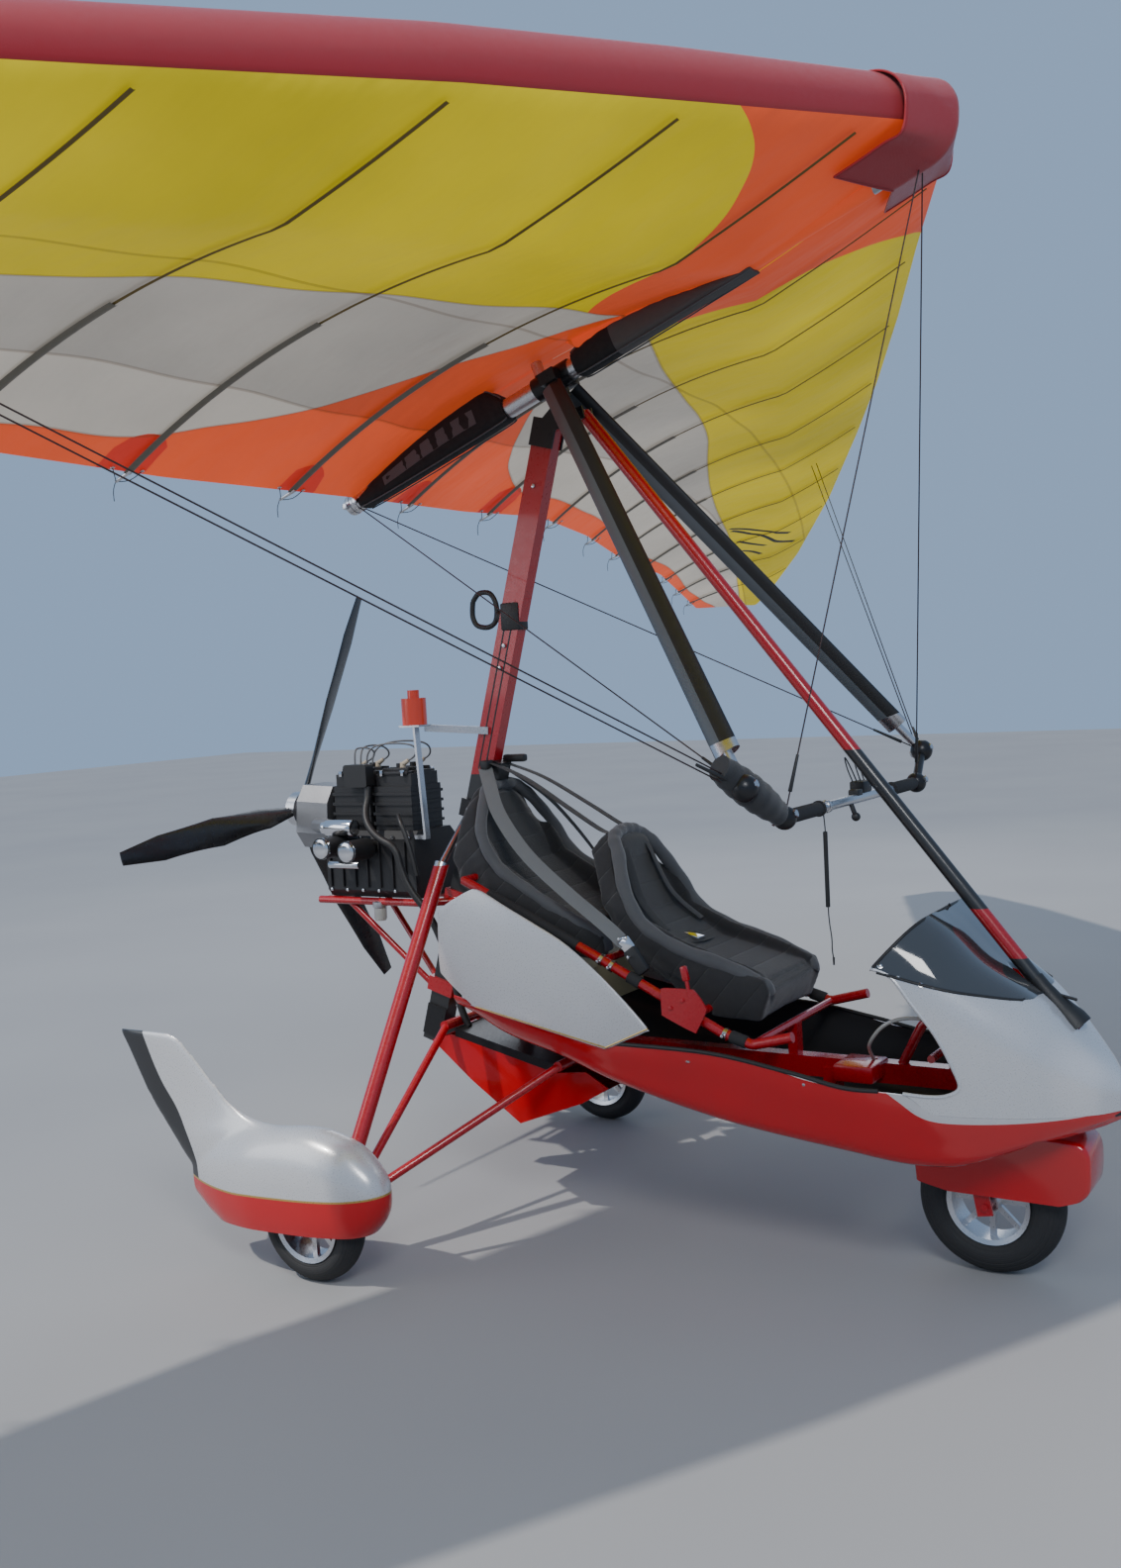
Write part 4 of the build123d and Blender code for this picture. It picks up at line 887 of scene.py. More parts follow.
    def bridge(self, rings: Sequence[Sequence[Vert]]) -> None:
        """Joins closed rings in order, and closes the ends.

        Args:
            rings: The vertices of each ring.
        """
        loops = [list({edge for vert in ring for edge in vert.link_edges}) for ring in rings]
        for low, high in zip(loops, loops[1:]):
            bmesh.ops.bridge_loops(self.bm, edges=low + high)
        for loop in (loops[0], loops[-1]):
            bmesh.ops.contextual_create(self.bm, geom=loop)
        faces = self.faces_of([vert for ring in rings for vert in ring])
        bmesh.ops.recalc_face_normals(self.bm, faces=faces)

    def patch(self, columns: int, rows: int, place: Callable[[float, float], Vector],
              paint: Callable[[float, float], int] | None = None) -> None:
        """Sheet that starts as a grid.

        Args:
            columns: How many faces it has along u.
            rows: How many faces it has along v.
            place: The point of each pair of shares u and v.
            paint: The material slot of each pair, if it has more than one.
        """
        made = bmesh.ops.create_grid(self.bm, x_segments=columns, y_segments=rows, size=1.0)
        shares = {vert: ((vert.co.x + 1) / 2, (vert.co.y + 1) / 2) for vert in made["verts"]}
        for face in self.faces_of(made["verts"]) if paint else ():
            u, v = (sum(shares[vert][k] for vert in face.verts) / len(face.verts) for k in (0, 1))
            face.material_index = paint(u, v)
        for vert, (u, v) in shares.items():
            vert.co = place(u, v)

    def mirror(self) -> None:
        """Adds the other side."""
        made = bmesh.ops.duplicate(self.bm, geom=self.bm.verts[:] + self.bm.edges[:] + self.bm.faces[:])
        verts = [item for item in made["geom"] if isinstance(item, Vert)]
        faces = [item for item in made["geom"] if isinstance(item, bmesh.types.BMFace)]
        bmesh.ops.scale(self.bm, vec=(1.0, -1.0, 1.0), verts=verts)
        bmesh.ops.reverse_faces(self.bm, faces=faces)

    def done(self, name: str, body: str, slot: str, *names: str, angle: float = 40.0) -> Piece:
        """Turns the mesh into a piece that rides on a body.

        Args:
            name: The piece's name.
            body: The body that it moves with.
            slot: The finish that it takes where no others are named.
            names: Its finishes, in place of that one.
            angle: The angle in degrees past which an edge stays sharp.

        Returns:
            The piece.
        """
        mesh = bpy.data.meshes.new(name)
        self.bm.to_mesh(mesh)
        self.bm.free()
        mesh.shade_smooth()
        mesh.set_sharp_from_angle(angle=math.radians(angle))
        piece = bpy.data.objects.new(name, mesh)
        return settle(piece, body, slot, *names)


def settle(piece: Piece, body: str, slot: str, *names: str) -> Piece:
    """Links a piece, dresses it and lets it ride on a body.

    Args:
        piece: The new object.
        body: The body that it moves with.
        slot: The finish that it takes where no others are named.
        names: Its finishes, in place of that one.

    Returns:
        The same object.
    """
    bpy.context.scene.collection.objects.link(piece)
    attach(piece, body)
    dress(piece, *(names or (slot,)))
    LOG.info("%s rides on %s", piece.name, body)
    return piece


def strand(name: str, points: Sequence[Vector], radius: float, sides: int = 3) -> Piece:
    """Curve of one smooth spline with a round section.

    Args:
        name: The piece's name.
        points: The control points of the spline.
        radius: Half its thickness.
        sides: The fineness of its section.

    Returns:
        The curve object, not yet linked.
    """
    curve = bpy.data.curves.new(name, "CURVE")
    curve.dimensions = "3D"
    curve.bevel_depth = 1.0
    curve.bevel_resolution = sides
    curve.use_fill_caps = True
    curve.resolution_u = 8
    run = curve.splines.new("NURBS")
    run.points.add(len(points) - 1)
    for knot, point in zip(run.points, points):
        knot.co = (*point, 1.0)
        knot.radius = radius
    run.order_u = 3
    run.use_endpoint_u = True
    return bpy.data.objects.new(name, curve)


# The stage


@dataclass
class Studio:
    """Pale floor, soft light and the camera at the photograph's place."""

    eye: Point = (2.717, -4.113, 1.731)
    yaw: float = 121.94
    pitch: float = -3.47
    roll: float = -3.11
    lens: float = 34.295
    rise: float = -14 / 1584

    def build(self) -> None:
        """Makes the stage."""
        self.floor()
        self.sky()
        self.lamp("key", (5.5, -7.0, 7.5), 420.0, 3.0)
        self.lamp("fill", (-6.5, -7.5, 4.0), 160.0, 5.0)
        self.lamp("rim", (-3.0, 8.0, 6.0), 160.0, 6.0)
        self.sun()
        self.camera()

    def floor(self) -> None:
        """Broad pale floor under the wheels."""
        form = Form()
        form.patch(1, 1, lambda u, v: Vector((60 * u - 30, 60 * v - 30, 0.0)))
        mesh = bpy.data.meshes.new("studio_floor")
        form.bm.to_mesh(mesh)
        form.bm.free()
        piece = bpy.data.objects.new("studio_floor", mesh)
        bpy.context.scene.collection.objects.link(piece)
        shade = Shade("studio_floor")
        tone = shade.mix(shade.noise(0.6, 2.0), (0.30, 0.30, 0.31), (0.36, 0.36, 0.36))
        shade.feed(shade.shader.inputs["Base Color"], tone)
        shade.shader.inputs["Roughness"].default_value = 0.85
        mesh.materials.append(shade.material)

    def sky(self) -> None:
        """Even light from all round."""
        world = bpy.data.worlds.new("studio")
        world.use_nodes = True
        background = world.node_tree.nodes["Background"]
        background.inputs[0].default_value = (0.46, 0.66, 0.98, 1.0)
        background.inputs[1].default_value = 0.62
        bpy.context.scene.world = world

    def sun(self) -> None:
        """Hard light from high on the left, as in the open air."""
        data = bpy.data.lights.new("sun", "SUN")
        data.energy = 2.4
        data.angle = math.radians(1.0)
        data.color = (1.0, 0.96, 0.90)
        lamp = bpy.data.objects.new("sun", data)
        lamp.rotation_euler = Vector((0.42, 0.62, -1.0)).to_track_quat("-Z", "Y").to_euler()
        bpy.context.scene.collection.objects.link(lamp)

    def lamp(self, name: str, place: Point, power: float, size: float) -> None:
        """Soft square light that looks at the cockpit.

        Args:
            name: The light's name.
            place: Where it hangs.
            power: Its power in watts.
            size: The side of its square.
        """
        data = bpy.data.lights.new(name, "AREA")
        data.energy = power
        data.size = size
        lamp = bpy.data.objects.new(name, data)
        lamp.location = place
        lamp.rotation_euler = (Vector((0.5, 0.0, 1.2)) - Vector(place)).to_track_quat("-Z", "Y").to_euler()
        bpy.context.scene.collection.objects.link(lamp)

    def camera(self) -> None:
        """Camera with the photograph's place, aim and frame."""
        data = bpy.data.cameras.new("photo")
        data.lens = self.lens
        data.sensor_width = 36.0
        data.sensor_fit = "AUTO"
        data.shift_y = self.rise
        data.clip_end = 200.0
        yaw, pitch, roll = (math.radians(v) for v in (self.yaw, self.pitch, self.roll))
        ahead = Vector((math.cos(pitch) * math.cos(yaw), math.cos(pitch) * math.sin(yaw), math.sin(pitch)))
        level_right = ahead.cross(UP).normalized()
        level_up = level_right.cross(ahead)
        right = level_right * math.cos(roll) + level_up * math.sin(roll)
        up = level_up * math.cos(roll) - level_right * math.sin(roll)
        turn = Matrix((right, up, -ahead)).transposed()
        camera = bpy.data.objects.new("photo", data)
        camera.matrix_world = Matrix.Translation(self.eye) @ turn.to_4x4()
        bpy.context.scene.collection.objects.link(camera)
        bpy.context.scene.camera = camera


@dataclass
class Airframe:
    """The solids that stay, with the finish of each."""

    nodes: dict[str, Piece]
    wear: dict[str, tuple[str, ...]] = field(default_factory=lambda: {
        "red_paint": ("main_beam", "engine_mount", "axle_arms_left", "axle_arms_right", "front_fork",
                      "seat_frame"),
        "mast_paint": ("mast",),
        "strut_paint": ("front_strut",),
        "leg_paint": ("main_leg_left", "main_leg_right"),
        "black_alloy": ("mast_hinge", "mast_head", "leg_clamp", "radiator", "belt_anchor", "hang_block",
                        "apex_bracket", "corner_left", "corner_right"),
        "bare_alloy": ("propeller_hub", "rear_rim_left", "rear_rim_right", "front_rim", "bottle_bracket",
                       "keel_tube", "base_bar", "king_post"),
        "engine_metal": ("engine",),
        "cast_alloy": ("gearbox",),
        "black_plastic": ("air_filters", "plug_box", "starter_handle"),
        "blade": ("propeller_blades",),
        "tank": ("fuel_tank",),
        "bottle": ("coolant_bottle",),
        "red_shell": ("front_mudguard", "pod_hull", "belly_scoop"),
        "silver_shell": ("side_panel_left", "side_panel_right", "nose_cowl"),
        "spat_shell": ("spat_left", "spat_right"),
        "smoked_screen": ("windscreen",),
        "grey_fairing": ("downtube_left", "downtube_right"),
        "steel_wire": ("lower_rigging", "upper_rigging"),
        "seat_cloth": ("front_seat", "rear_seat"),
        "sailcloth": ("sail_left", "sail_right", "sail_centre"),
        "dark_fabric": ("keel_covers",),
        "maroon_cloth": ("nose_cone",)})

    def build(self) -> None:
        """Dresses every solid but the tyres."""
        for finish, names in self.wear.items():
            for name in names:
                dress(self.nodes[name], finish)
                LOG.info("%s is dressed in %s", name, finish)


# The wing


@dataclass
class Sail:
    """The sail: one cloth a side, wrapped round the leading edge and open at the back."""

    table: Table = (
        (0.034, 1.377, 0.022, -0.866, 0.010, 0.152, 0.056, 0.098),
        (0.800, 1.013, 0.066, -0.965, 0.064, 0.165, 0.034, 0.090),
        (1.400, 0.735, 0.093, -0.990, 0.097, 0.162, 0.026, 0.078),
        (2.100, 0.386, 0.118, -1.172, 0.134, 0.148, 0.020, 0.064),
        (2.800, 0.026, 0.157, -1.410, 0.174, 0.130, 0.016, 0.050),
        (3.700, -0.519, 0.148, -1.630, 0.192, 0.108, 0.012, 0.038),
        (4.600, -1.128, 0.140, -1.950, 0.210, 0.084, 0.008, 0.024),
        (5.130, -1.553, 0.130, -2.140, 0.220, 0.060, 0.004, 0.010),
        (5.400, -1.807, 0.124, -1.985, 0.172, 0.026, 0.001, 0.003),
    )
    battens: tuple[float, ...] = (0.27, 0.80, 1.37, 1.93, 2.50, 3.06, 3.62, 4.18, 4.70)
    under: int = 26
    front: int = 12
    over: int = 26
    ripple: float = 0.010
    keel_radius: float = 0.0355
    known: dict[float, Outline] = field(default_factory=dict)

    @property
    def total(self) -> int:
        """How many faces go round the section."""
        return self.under + self.front + self.over

    def row(self, y: float) -> list[float]:
        """The table's values at a place along the span."""
        return [y] + [level(self.table, k, y) for k in range(1, 8)]

    def section(self, y: float) -> Outline:
        """Points (c, n) of the cloth from the lower back edge round the front to the upper back edge.

        Args:
            y: The place along the span.

        Returns:
            The points.
        """
        _, c0, n0, c1, n1, depth, sag, camber = self.row(y)
        chord = c0 - c1
        low0 = (c0, n0)
        front = (c0 + depth * 0.17, n0 + depth / 2)
        high0 = (c0 - depth * 0.1, n0 + depth)
        high1 = (c1, n1 + 0.006)
        low1 = (c1, n1)
        knee = (c0 - chord * 0.3, n0 - sag)
        crown = (c0 - chord * 0.42, (n0 + depth + n1) / 2 + camber)
        bend = (c0 - chord * 0.66, (n1 + knee[1]) / 2 + camber * 0.98)
        behind = self.under * 7 // 10
        steps = self.under - behind
        rear = arc(low1, bend, knee, behind + 1)
        ahead = [(lerp(knee[0], low0[0], k), lerp(knee[1], low0[1], k) - 0.006 * math.sin(math.pi * k))
                 for k in (j / steps for j in range(1, steps + 1))]
        nose = arc(low0, front, high0, self.front + 1)[1:]
        top = arc(high0, crown, high1, self.over + 1)[1:]
        return rear + ahead + nose + top

    def relief(self, y: float, k: int) -> float:
        """Height by which the cloth sags between its battens.

        Args:
            y: The place along the span.
            k: The place round the section.

        Returns:
            The height.
        """
        rows = sorted([0.0, *self.battens, 5.2])
        for low, high in zip(rows, rows[1:]):
            if low <= y <= high:
                break
        share = (y - low) / max(high - low, 1e-6)
        deep = self.ripple if k < self.under or k > self.under + self.front else 0.0
        return deep * math.sin(math.pi * min(max(share, 0.0), 1.0)) ** 2

    def point(self, u: float, v: float) -> Vector:
        """Point of the cloth at a share of the span and a share round the section.

        Args:
            u: The share of the span.
            v: The share round the section.

        Returns:
            The point.
        """
        y = lerp(self.table[0][0], self.table[-1][0], u)
        k = min(int(round(v * self.total)), self.total)
        c, n = self.sections(round(y, 6))[k]
        edge = min(k, self.total - k)
        lift = self.relief(y, k) * min(edge / 3.0, 1.0)
        return wing(c, y, n - lift if k < self.under else n + lift)

    def sections(self, y: float) -> Outline:
        """The section at a place, worked out once.

        Args:
            y: The place along the span.

        Returns:
            Its points.
        """
        if y not in self.known:
            self.known[y] = self.section(y)
        return self.known[y]

    def paint(self, u: float, v: float) -> int:
        """The leading band's slot in front, and the cloth's elsewhere."""
        return 1 if self.under <= v * self.total <= self.under + self.front + 3 else 0

    def build(self) -> None:
        """Makes both sides and the strip between them."""
        for side in Side:
            form = Form()
            form.patch(150, self.total, self.point if side is Side.LEFT else self.mirrored, self.paint)
            if side is Side.LEFT:
                bmesh.ops.reverse_faces(form.bm, faces=form.bm.faces[:])
            self.declare(form, f"sail_cloth_{side.word}", f"sail_{side.word}")
        form = Form()
        form.patch(16, self.total, self.middle, self.paint)
        self.declare(form, "sail_cloth_centre", "sail_centre")

    def mirrored(self, u: float, v: float) -> Vector:
        """Point of the right cloth."""
        return flipped(self.point(u, v))

    def middle(self, u: float, v: float) -> Vector:
        """Point of the strip round the keel, which it follows below where the cloth is closed.

        Args:
            u: The share across the strip.
            v: The share round the section.

        Returns:
            The point.
        """
        k = int(round(v * self.total))
        c, n = self.sections(self.table[0][0])[k]
        y = -self.table[0][0] * math.cos(math.pi * u)
        if k < self.under and 0.10 < c < 1.16 and 0.0 < u < 1.0:
            n = min(n, -self.keel_radius * math.sqrt(max(1.0 - (y / self.keel_radius) ** 2, 0.0)))
        return wing(c, y, n)

    def declare(self, form: Form, name: str, node: str) -> None:
        """Turns a cloth into a piece on the wing, and hides the solid that it replaces.

        Args:
            form: The cloth's mesh.
            name: The piece's name.
            node: The solid that it replaces.
        """
        piece = form.done(name, "wing", "sailcloth", "sailcloth", "maroon_cloth", angle=60)
        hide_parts(node)


def flipped(point: Vector) -> Vector:
    """The point on the other side."""
    return Vector((point.x, -point.y, point.z))


def applied(piece: Piece) -> None:
    """Turns a piece's modifiers into its mesh, with its materials kept.

    Args:
        piece: The piece.
    """
    deps = bpy.context.evaluated_depsgraph_get()
    made = bpy.data.meshes.new_from_object(piece.evaluated_get(deps), depsgraph=deps)
    piece.modifiers.clear()
    piece.data = made


def relax(bm: bmesh.types.BMesh, verts: Iterable[Vert]) -> None:
    """Evens out some vertices by one step."""
    bmesh.ops.smooth_vert(bm, verts=verts, factor=0.5, use_axis_x=True, use_axis_y=True, use_axis_z=True)


def even_skin(piece: Piece, size: float) -> None:
    """Rebuilds a piece's skin from small cubes.

    Args:
        piece: The closed piece.
        size: The side of a cube.
    """
    even = piece.modifiers.new("even", "REMESH")
    even.mode = "VOXEL"
    even.voxel_size = size
    even.use_smooth_shade = True
    applied(piece)


def carve(piece: Piece, cutter: Form, keep_inside: bool = False) -> None:
    """Cuts a shape out of a piece, or keeps only what lies in it.

    Args:
        piece: The closed mesh to cut.
        cutter: The shape that cuts.
        keep_inside: Whether what lies in the shape is what stays.
    """
    mesh = bpy.data.meshes.new("cutter")
    cutter.bm.to_mesh(mesh)
    cutter.bm.free()
    tool = bpy.data.objects.new("cutter", mesh)
    bpy.context.scene.collection.objects.link(tool)
    cut = piece.modifiers.new("cut", "BOOLEAN")
    cut.operation = "INTERSECT" if keep_inside else "DIFFERENCE"
    cut.solver = "EXACT"
    cut.object = tool
    bpy.context.view_layer.update()
    applied(piece)
    bpy.data.objects.remove(tool)
    bpy.data.meshes.remove(mesh)
    piece.data.shade_smooth()
    piece.data.set_sharp_from_angle(angle=math.radians(35))


def walled(form: Form, thick: float) -> None:
    """Gives an open skin a wall on its inner side, which takes the second finish.

    Args:
        form: The open skin.
        thick: How thick the wall is.
    """
    bmesh.ops.recalc_face_normals(form.bm, faces=form.bm.faces[:])
    outer = set(form.bm.verts)
    bmesh.ops.solidify(form.bm, geom=form.bm.faces[:], thickness=thick)
    for face in form.bm.faces:
        if not outer.intersection(face.verts):
            face.material_index = 1


@dataclass
class Shells:
    """Smooth moulded shells: the tub, the cowl, the screen and the spats."""

    pod: Table = ((0.180, 0.352, 0.753, 0.280, 0.690, 0.664), (0.333, 0.352, 0.724, 0.300, 0.622, 0.600),
                  (0.540, 0.352, 0.683, 0.312, 0.572, 0.550), (0.732, 0.352, 0.646, 0.318, 0.512, 0.490),
                  (1.061, 0.352, 0.645, 0.318, 0.440, 0.420), (1.459, 0.344, 0.582, 0.300, 0.383, 0.374),
                  (1.625, 0.328, 0.576, 0.288, 0.364, 0.364), (1.709, 0.314, 0.526, 0.276, 0.362, 0.372),
                  (1.930, 0.232, 0.518, 0.200, 0.424, 0.424), (2.080, 0.124, 0.514, 0.100, 0.466, 0.466),
                  (2.136, 0.034, 0.510, 0.026, 0.486, 0.486))
    cowl: Table = ((1.540, 0.935, 1.100), (1.625, 0.902, 1.058), (1.709, 0.860, 1.000),
                   (1.800, 0.792, 0.905), (1.930, 0.704, 0.808), (2.080, 0.590, 0.640),
                   (2.136, 0.545, 0.562))
    cut: Table = ((1.40, 0.480), (1.621, 0.480), (1.626, 0.578), (1.694, 0.574), (1.740, 0.579),
                  (1.770, 0.601), (1.756, 0.652), (1.714, 0.741), (1.650, 0.830), (1.604, 0.890),
                  (1.553, 0.912), (1.672, 1.046), (1.672, 1.300), (1.400, 1.300))
    spat: Table = ((0.284, 0.004, 0.290, 0.276), (0.275, 0.030, 0.322, 0.250), (0.245, 0.060, 0.366, 0.214),
                   (0.150, 0.088, 0.432, 0.172), (0.020, 0.096, 0.457, 0.148), (-0.160, 0.093, 0.441, 0.134),
                   (-0.300, 0.072, 0.400, 0.134), (-0.400, 0.044, 0.352, 0.190),
                   (-0.486, 0.010, 0.322, 0.262))
    belt: Table = ((-0.486, 0.262), (-0.40, 0.250), (-0.30, 0.250), (-0.171, 0.256), (0.024, 0.266),
                   (0.173, 0.274), (0.284, 0.280))
    fin: Table = ((0.00, 0.425, -0.44, 0.262, 0.050), (-0.06, 0.436, -0.50, 0.295, 0.040),
                  (-0.135, 0.450, -0.558, 0.360, 0.030), (-0.220, 0.464, -0.605, 0.415, 0.020),
                  (-0.310, 0.502, -0.655, 0.476, 0.014), (-0.399, 0.572, -0.705, 0.560, 0.011),
                  (-0.470, 0.640, -0.745, 0.632, 0.010), (-0.520, 0.680, -0.772, 0.676, 0.009),
                  (-0.560, 0.693, -0.776, 0.691, 0.006))
    panel: Table = ((0.279, 1.097), (0.235, 1.078), (0.165, 1.040), (0.142, 1.012), (0.137, 0.930),
                    (0.137, 0.843), (0.152, 0.813), (0.245, 0.737), (0.285, 0.720), (0.500, 0.676),
                    (0.700, 0.636), (0.737, 0.634), (0.800, 0.662), (0.866, 0.692), (0.872, 0.707),
                    (0.780, 0.800), (0.690, 0.878), (0.600, 0.944), (0.500, 0.996), (0.400, 1.045),
                    (0.315, 1.089))
    slot: Table = ((1.49, -0.205, 0.30), (2.11, 0.205, 0.450))
    guard: Table = ((0.262, 0.258), (0.284, 0.285), (0.290, 0.340), (0.286, 0.390), (0.262, 0.416),
                    (0.190, 0.427), (0.05, 0.432), (-0.090, 0.431), (-0.160, 0.410), (-0.194, 0.360),
                    (-0.192, 0.262))
    guard_foot: Table = ((-0.099, 0.242), (0.205, 0.240))
    guard_half: float = 0.088
    strut_foot: Point = (1.975, 0.0, 0.745)
    strut_run: Point = (-0.6112, 0.0, 0.7914)
    panel_y: float = 0.3525
    panel_thick: float = 0.0065
    wall: float = 0.006
    ring: int = 48

    def smooth_level(self, table: Table, x: float) -> tuple[float, ...]:
        """The table's row at a station, on a smooth curve.

        Args:
            table: Rows that rise in their first column.
            x: The station.

        Returns:
            The columns after the first.
        """
        for i, (low, high) in enumerate(zip(table, table[1:])):
            if x <= high[0]:
                break
        rows = [table[max(0, min(len(table) - 1, i + d))] for d in (-1, 0, 1, 2)]
        step = high[0] - low[0]
        f = (x - low[0]) / step
        out = []
        for k in range(1, len(table[0])):
            m0 = self.slope(*rows[:3], k) * step
            m1 = self.slope(*rows[1:], k) * step
            out.append((2 * f**3 - 3 * f**2 + 1) * low[k] + (f**3 - 2 * f**2 + f) * m0
                       + (3 * f**2 - 2 * f**3) * high[k] + (f**3 - f**2) * m1)
        return tuple(out)

    def slope(self, a: Sequence[float], b: Sequence[float], c: Sequence[float], k: int) -> float:
        """Slope of a column at the middle of three rows, level where it turns.

        Args:
            a: The row before.
            b: The middle row.
            c: The row after.
            k: The column.

        Returns:
            The slope.
        """
        s0 = (b[k] - a[k]) / (b[0] - a[0]) if b[0] != a[0] else (c[k] - b[k]) / (c[0] - b[0])
        s1 = (c[k] - b[k]) / (c[0] - b[0]) if c[0] != b[0] else s0
        if s0 * s1 <= 0:
            return 0.0
        return 2 * s0 * s1 / (s0 + s1)

    def tub_section(self, x: float) -> Outline:
        """Half section (y, z) of the tub from the keel up to the rim.

        Args:
            x: The station.

        Returns:
            The points.
        """
        rim, rim_z, chine, chine_z, keel = self.smooth_level(self.pod, x)
        side = lerp(chine_z, rim_z, 0.5)
        points = [(0.0, keel), (chine * 0.45, keel + 0.001), (chine * 0.82, lerp(keel, chine_z, 0.6) + 0.004),
                  (chine + 0.004, chine_z + 0.018), (lerp(chine, rim, 0.62), side),
                  (lerp(chine, rim, 0.92), lerp(side, rim_z, 0.6)), (rim, rim_z)]
        return [(max(y, 0.0), z) for y, z in spline(points, self.ring // 2 + 1)]

    def tub_place(self, u: float, v: float) -> Vector:
        """Point of the tub at a share of its length and a share from rim to rim.

        Args:
            u: The share of the length.
            v: The share from rim to rim.

        Returns:
            The point.
        """
        x = lerp(self.pod[0][0], self.pod[-1][0], u)
        half = self.tub_section(x)
        k = int(round(v * self.ring)) - self.ring // 2
        y, z = half[abs(k)]
        return at(x, math.copysign(y, k) if k else 0.0, z)

    def cowl_section(self, x: float) -> Outline:
        """Half section (y, z) of the cowl from the rim up to the middle.

        Args:
            x: The station.

        Returns:
            The points.
        """
        half, rim_z = self.smooth_level(self.pod, x)[:2]
        shoulder, top = self.smooth_level(self.cowl, x)
        points = [(half, rim_z + 0.0005), (half * 0.998, lerp(rim_z, shoulder, 0.5)), (half * 0.96, shoulder),
                  (half * 0.80, lerp(shoulder, top, 0.62)), (half * 0.56, top - 0.004), (half * 0.25, top),
                  (0.0, top)]
        return [(max(y, 0.0), z) for y, z in spline(points, self.ring // 2 + 1)]

    def cowl_place(self, u: float, v: float) -> Vector:
        """Point of the cowl at a share of its length and a share from rim to rim.

        Args:
            u: The share of the length.
            v: The share from rim to rim.

        Returns:
            The point.
        """
        x = lerp(self.cowl[0][0], self.cowl[-1][0], u)
        half = self.cowl_section(x)
        k = int(round(v * self.ring)) - self.ring // 2
        y, z = half[self.ring // 2 - abs(k)]
        return at(x, math.copysign(y, k) if k else 0.0, z)

    def side_of(self, x: float, z: float) -> float:
        """Half width of the cowl at a station and a height.

        Args:
            x: The station.
            z: The height.

        Returns:
            The half width.
        """
        rows = self.cowl_section(x)
        for (y0, z0), (y1, z1) in zip(rows, rows[1:]):
            if z0 <= z <= z1:
                return lerp(y0, y1, (z - z0) / max(z1 - z0, 1e-9))
        return rows[0][0] if z < rows[0][1] else rows[-1][0]

    def hull(self) -> None:
        """The tub, open above, with the front wheel's slot."""
        form = Form()
        form.patch(84, self.ring, self.tub_place)
        low, high = (at(*corner) for corner in self.slot)
        for k in range(3):
            for value in {low[k], high[k]}:
                normal = Vector([float(i == k) for i in range(3)])
                bmesh.ops.bisect_plane(form.bm, geom=form.bm.verts[:] + form.bm.edges[:] + form.bm.faces[:],
                                       plane_co=normal * value, plane_no=normal)
        slot = [f for f in form.bm.faces
                if all(low[k] < f.calc_center_median()[k] < high[k] for k in range(3))]
        bmesh.ops.delete(form.bm, geom=slot, context="FACES")
        walled(form, self.wall)
        # The inner wall takes black plastic: a painted shade for the dark inside of the cockpit, whose shell
        # is red.
        piece = form.done("pod_tub", "trike", "red_shell", "tub_shell", "black_plastic", angle=35)
        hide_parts("pod_hull")

    def mudguard(self) -> None:
        """Rounded guard over the front wheel, open below."""
        outline = (*self.guard_foot, *spline(self.guard, 36))
        form = Form()
        form.slab([at(FRONT_WHEEL[0] + x, -self.guard_half, z) for x, z in outline],
                  SPAN * self.guard_half * 2)
        sides = [f for f in form.bm.faces if abs(f.normal.y) > 0.9]
        rims = [e for f in sides for e in f.edges if min(v.co.z for v in e.verts) > 0.25]
        form.soften(rims, 0.014, 4)
        below = [f for f in form.bm.faces if f.normal.z < -0.8 and f.calc_center_median().z < 0.265]
        bmesh.ops.delete(form.bm, geom=below, context="FACES")
        walled(form, 0.004)
        piece = form.done("front_guard", "fork", "red_shell", "red_shell", "red_shell", angle=35)
        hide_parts("front_mudguard")

    def panels(self) -> None:
        """Side panels with rounded corners and a soft edge."""
        for side in Side:
            form = Form()
            ring = spline((*self.panel, self.panel[0]), 72)[:-1]
            form.slab([at(x, self.panel_y * side.value, z) for x, z in ring],
                      SPAN * self.panel_thick * side.value)
            outer = self.panel_y + self.panel_thick
            edges = [e for e in form.bm.edges if all(abs(abs(v.co.y) - outer) < 1e-5 for v in e.verts)]
            form.soften(edges, 0.003, 3)
            bmesh.ops.recalc_face_normals(form.bm, faces=form.bm.faces[:])
            piece = form.done(f"panel_{side.word}", "trike", "silver_shell", angle=60)
            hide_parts(f"side_panel_{side.word}")

    def prism(self, outline: Table) -> Form:
        """Block across the whole width with an outline of (station, height) points.

        Args:
            outline: The outline's points.

        Returns:
            The block.
        """
        form = Form()
        form.slab([at(x, -0.42, z) for x, z in outline], Vector((0.0, 0.84, 0.0)))
        return form

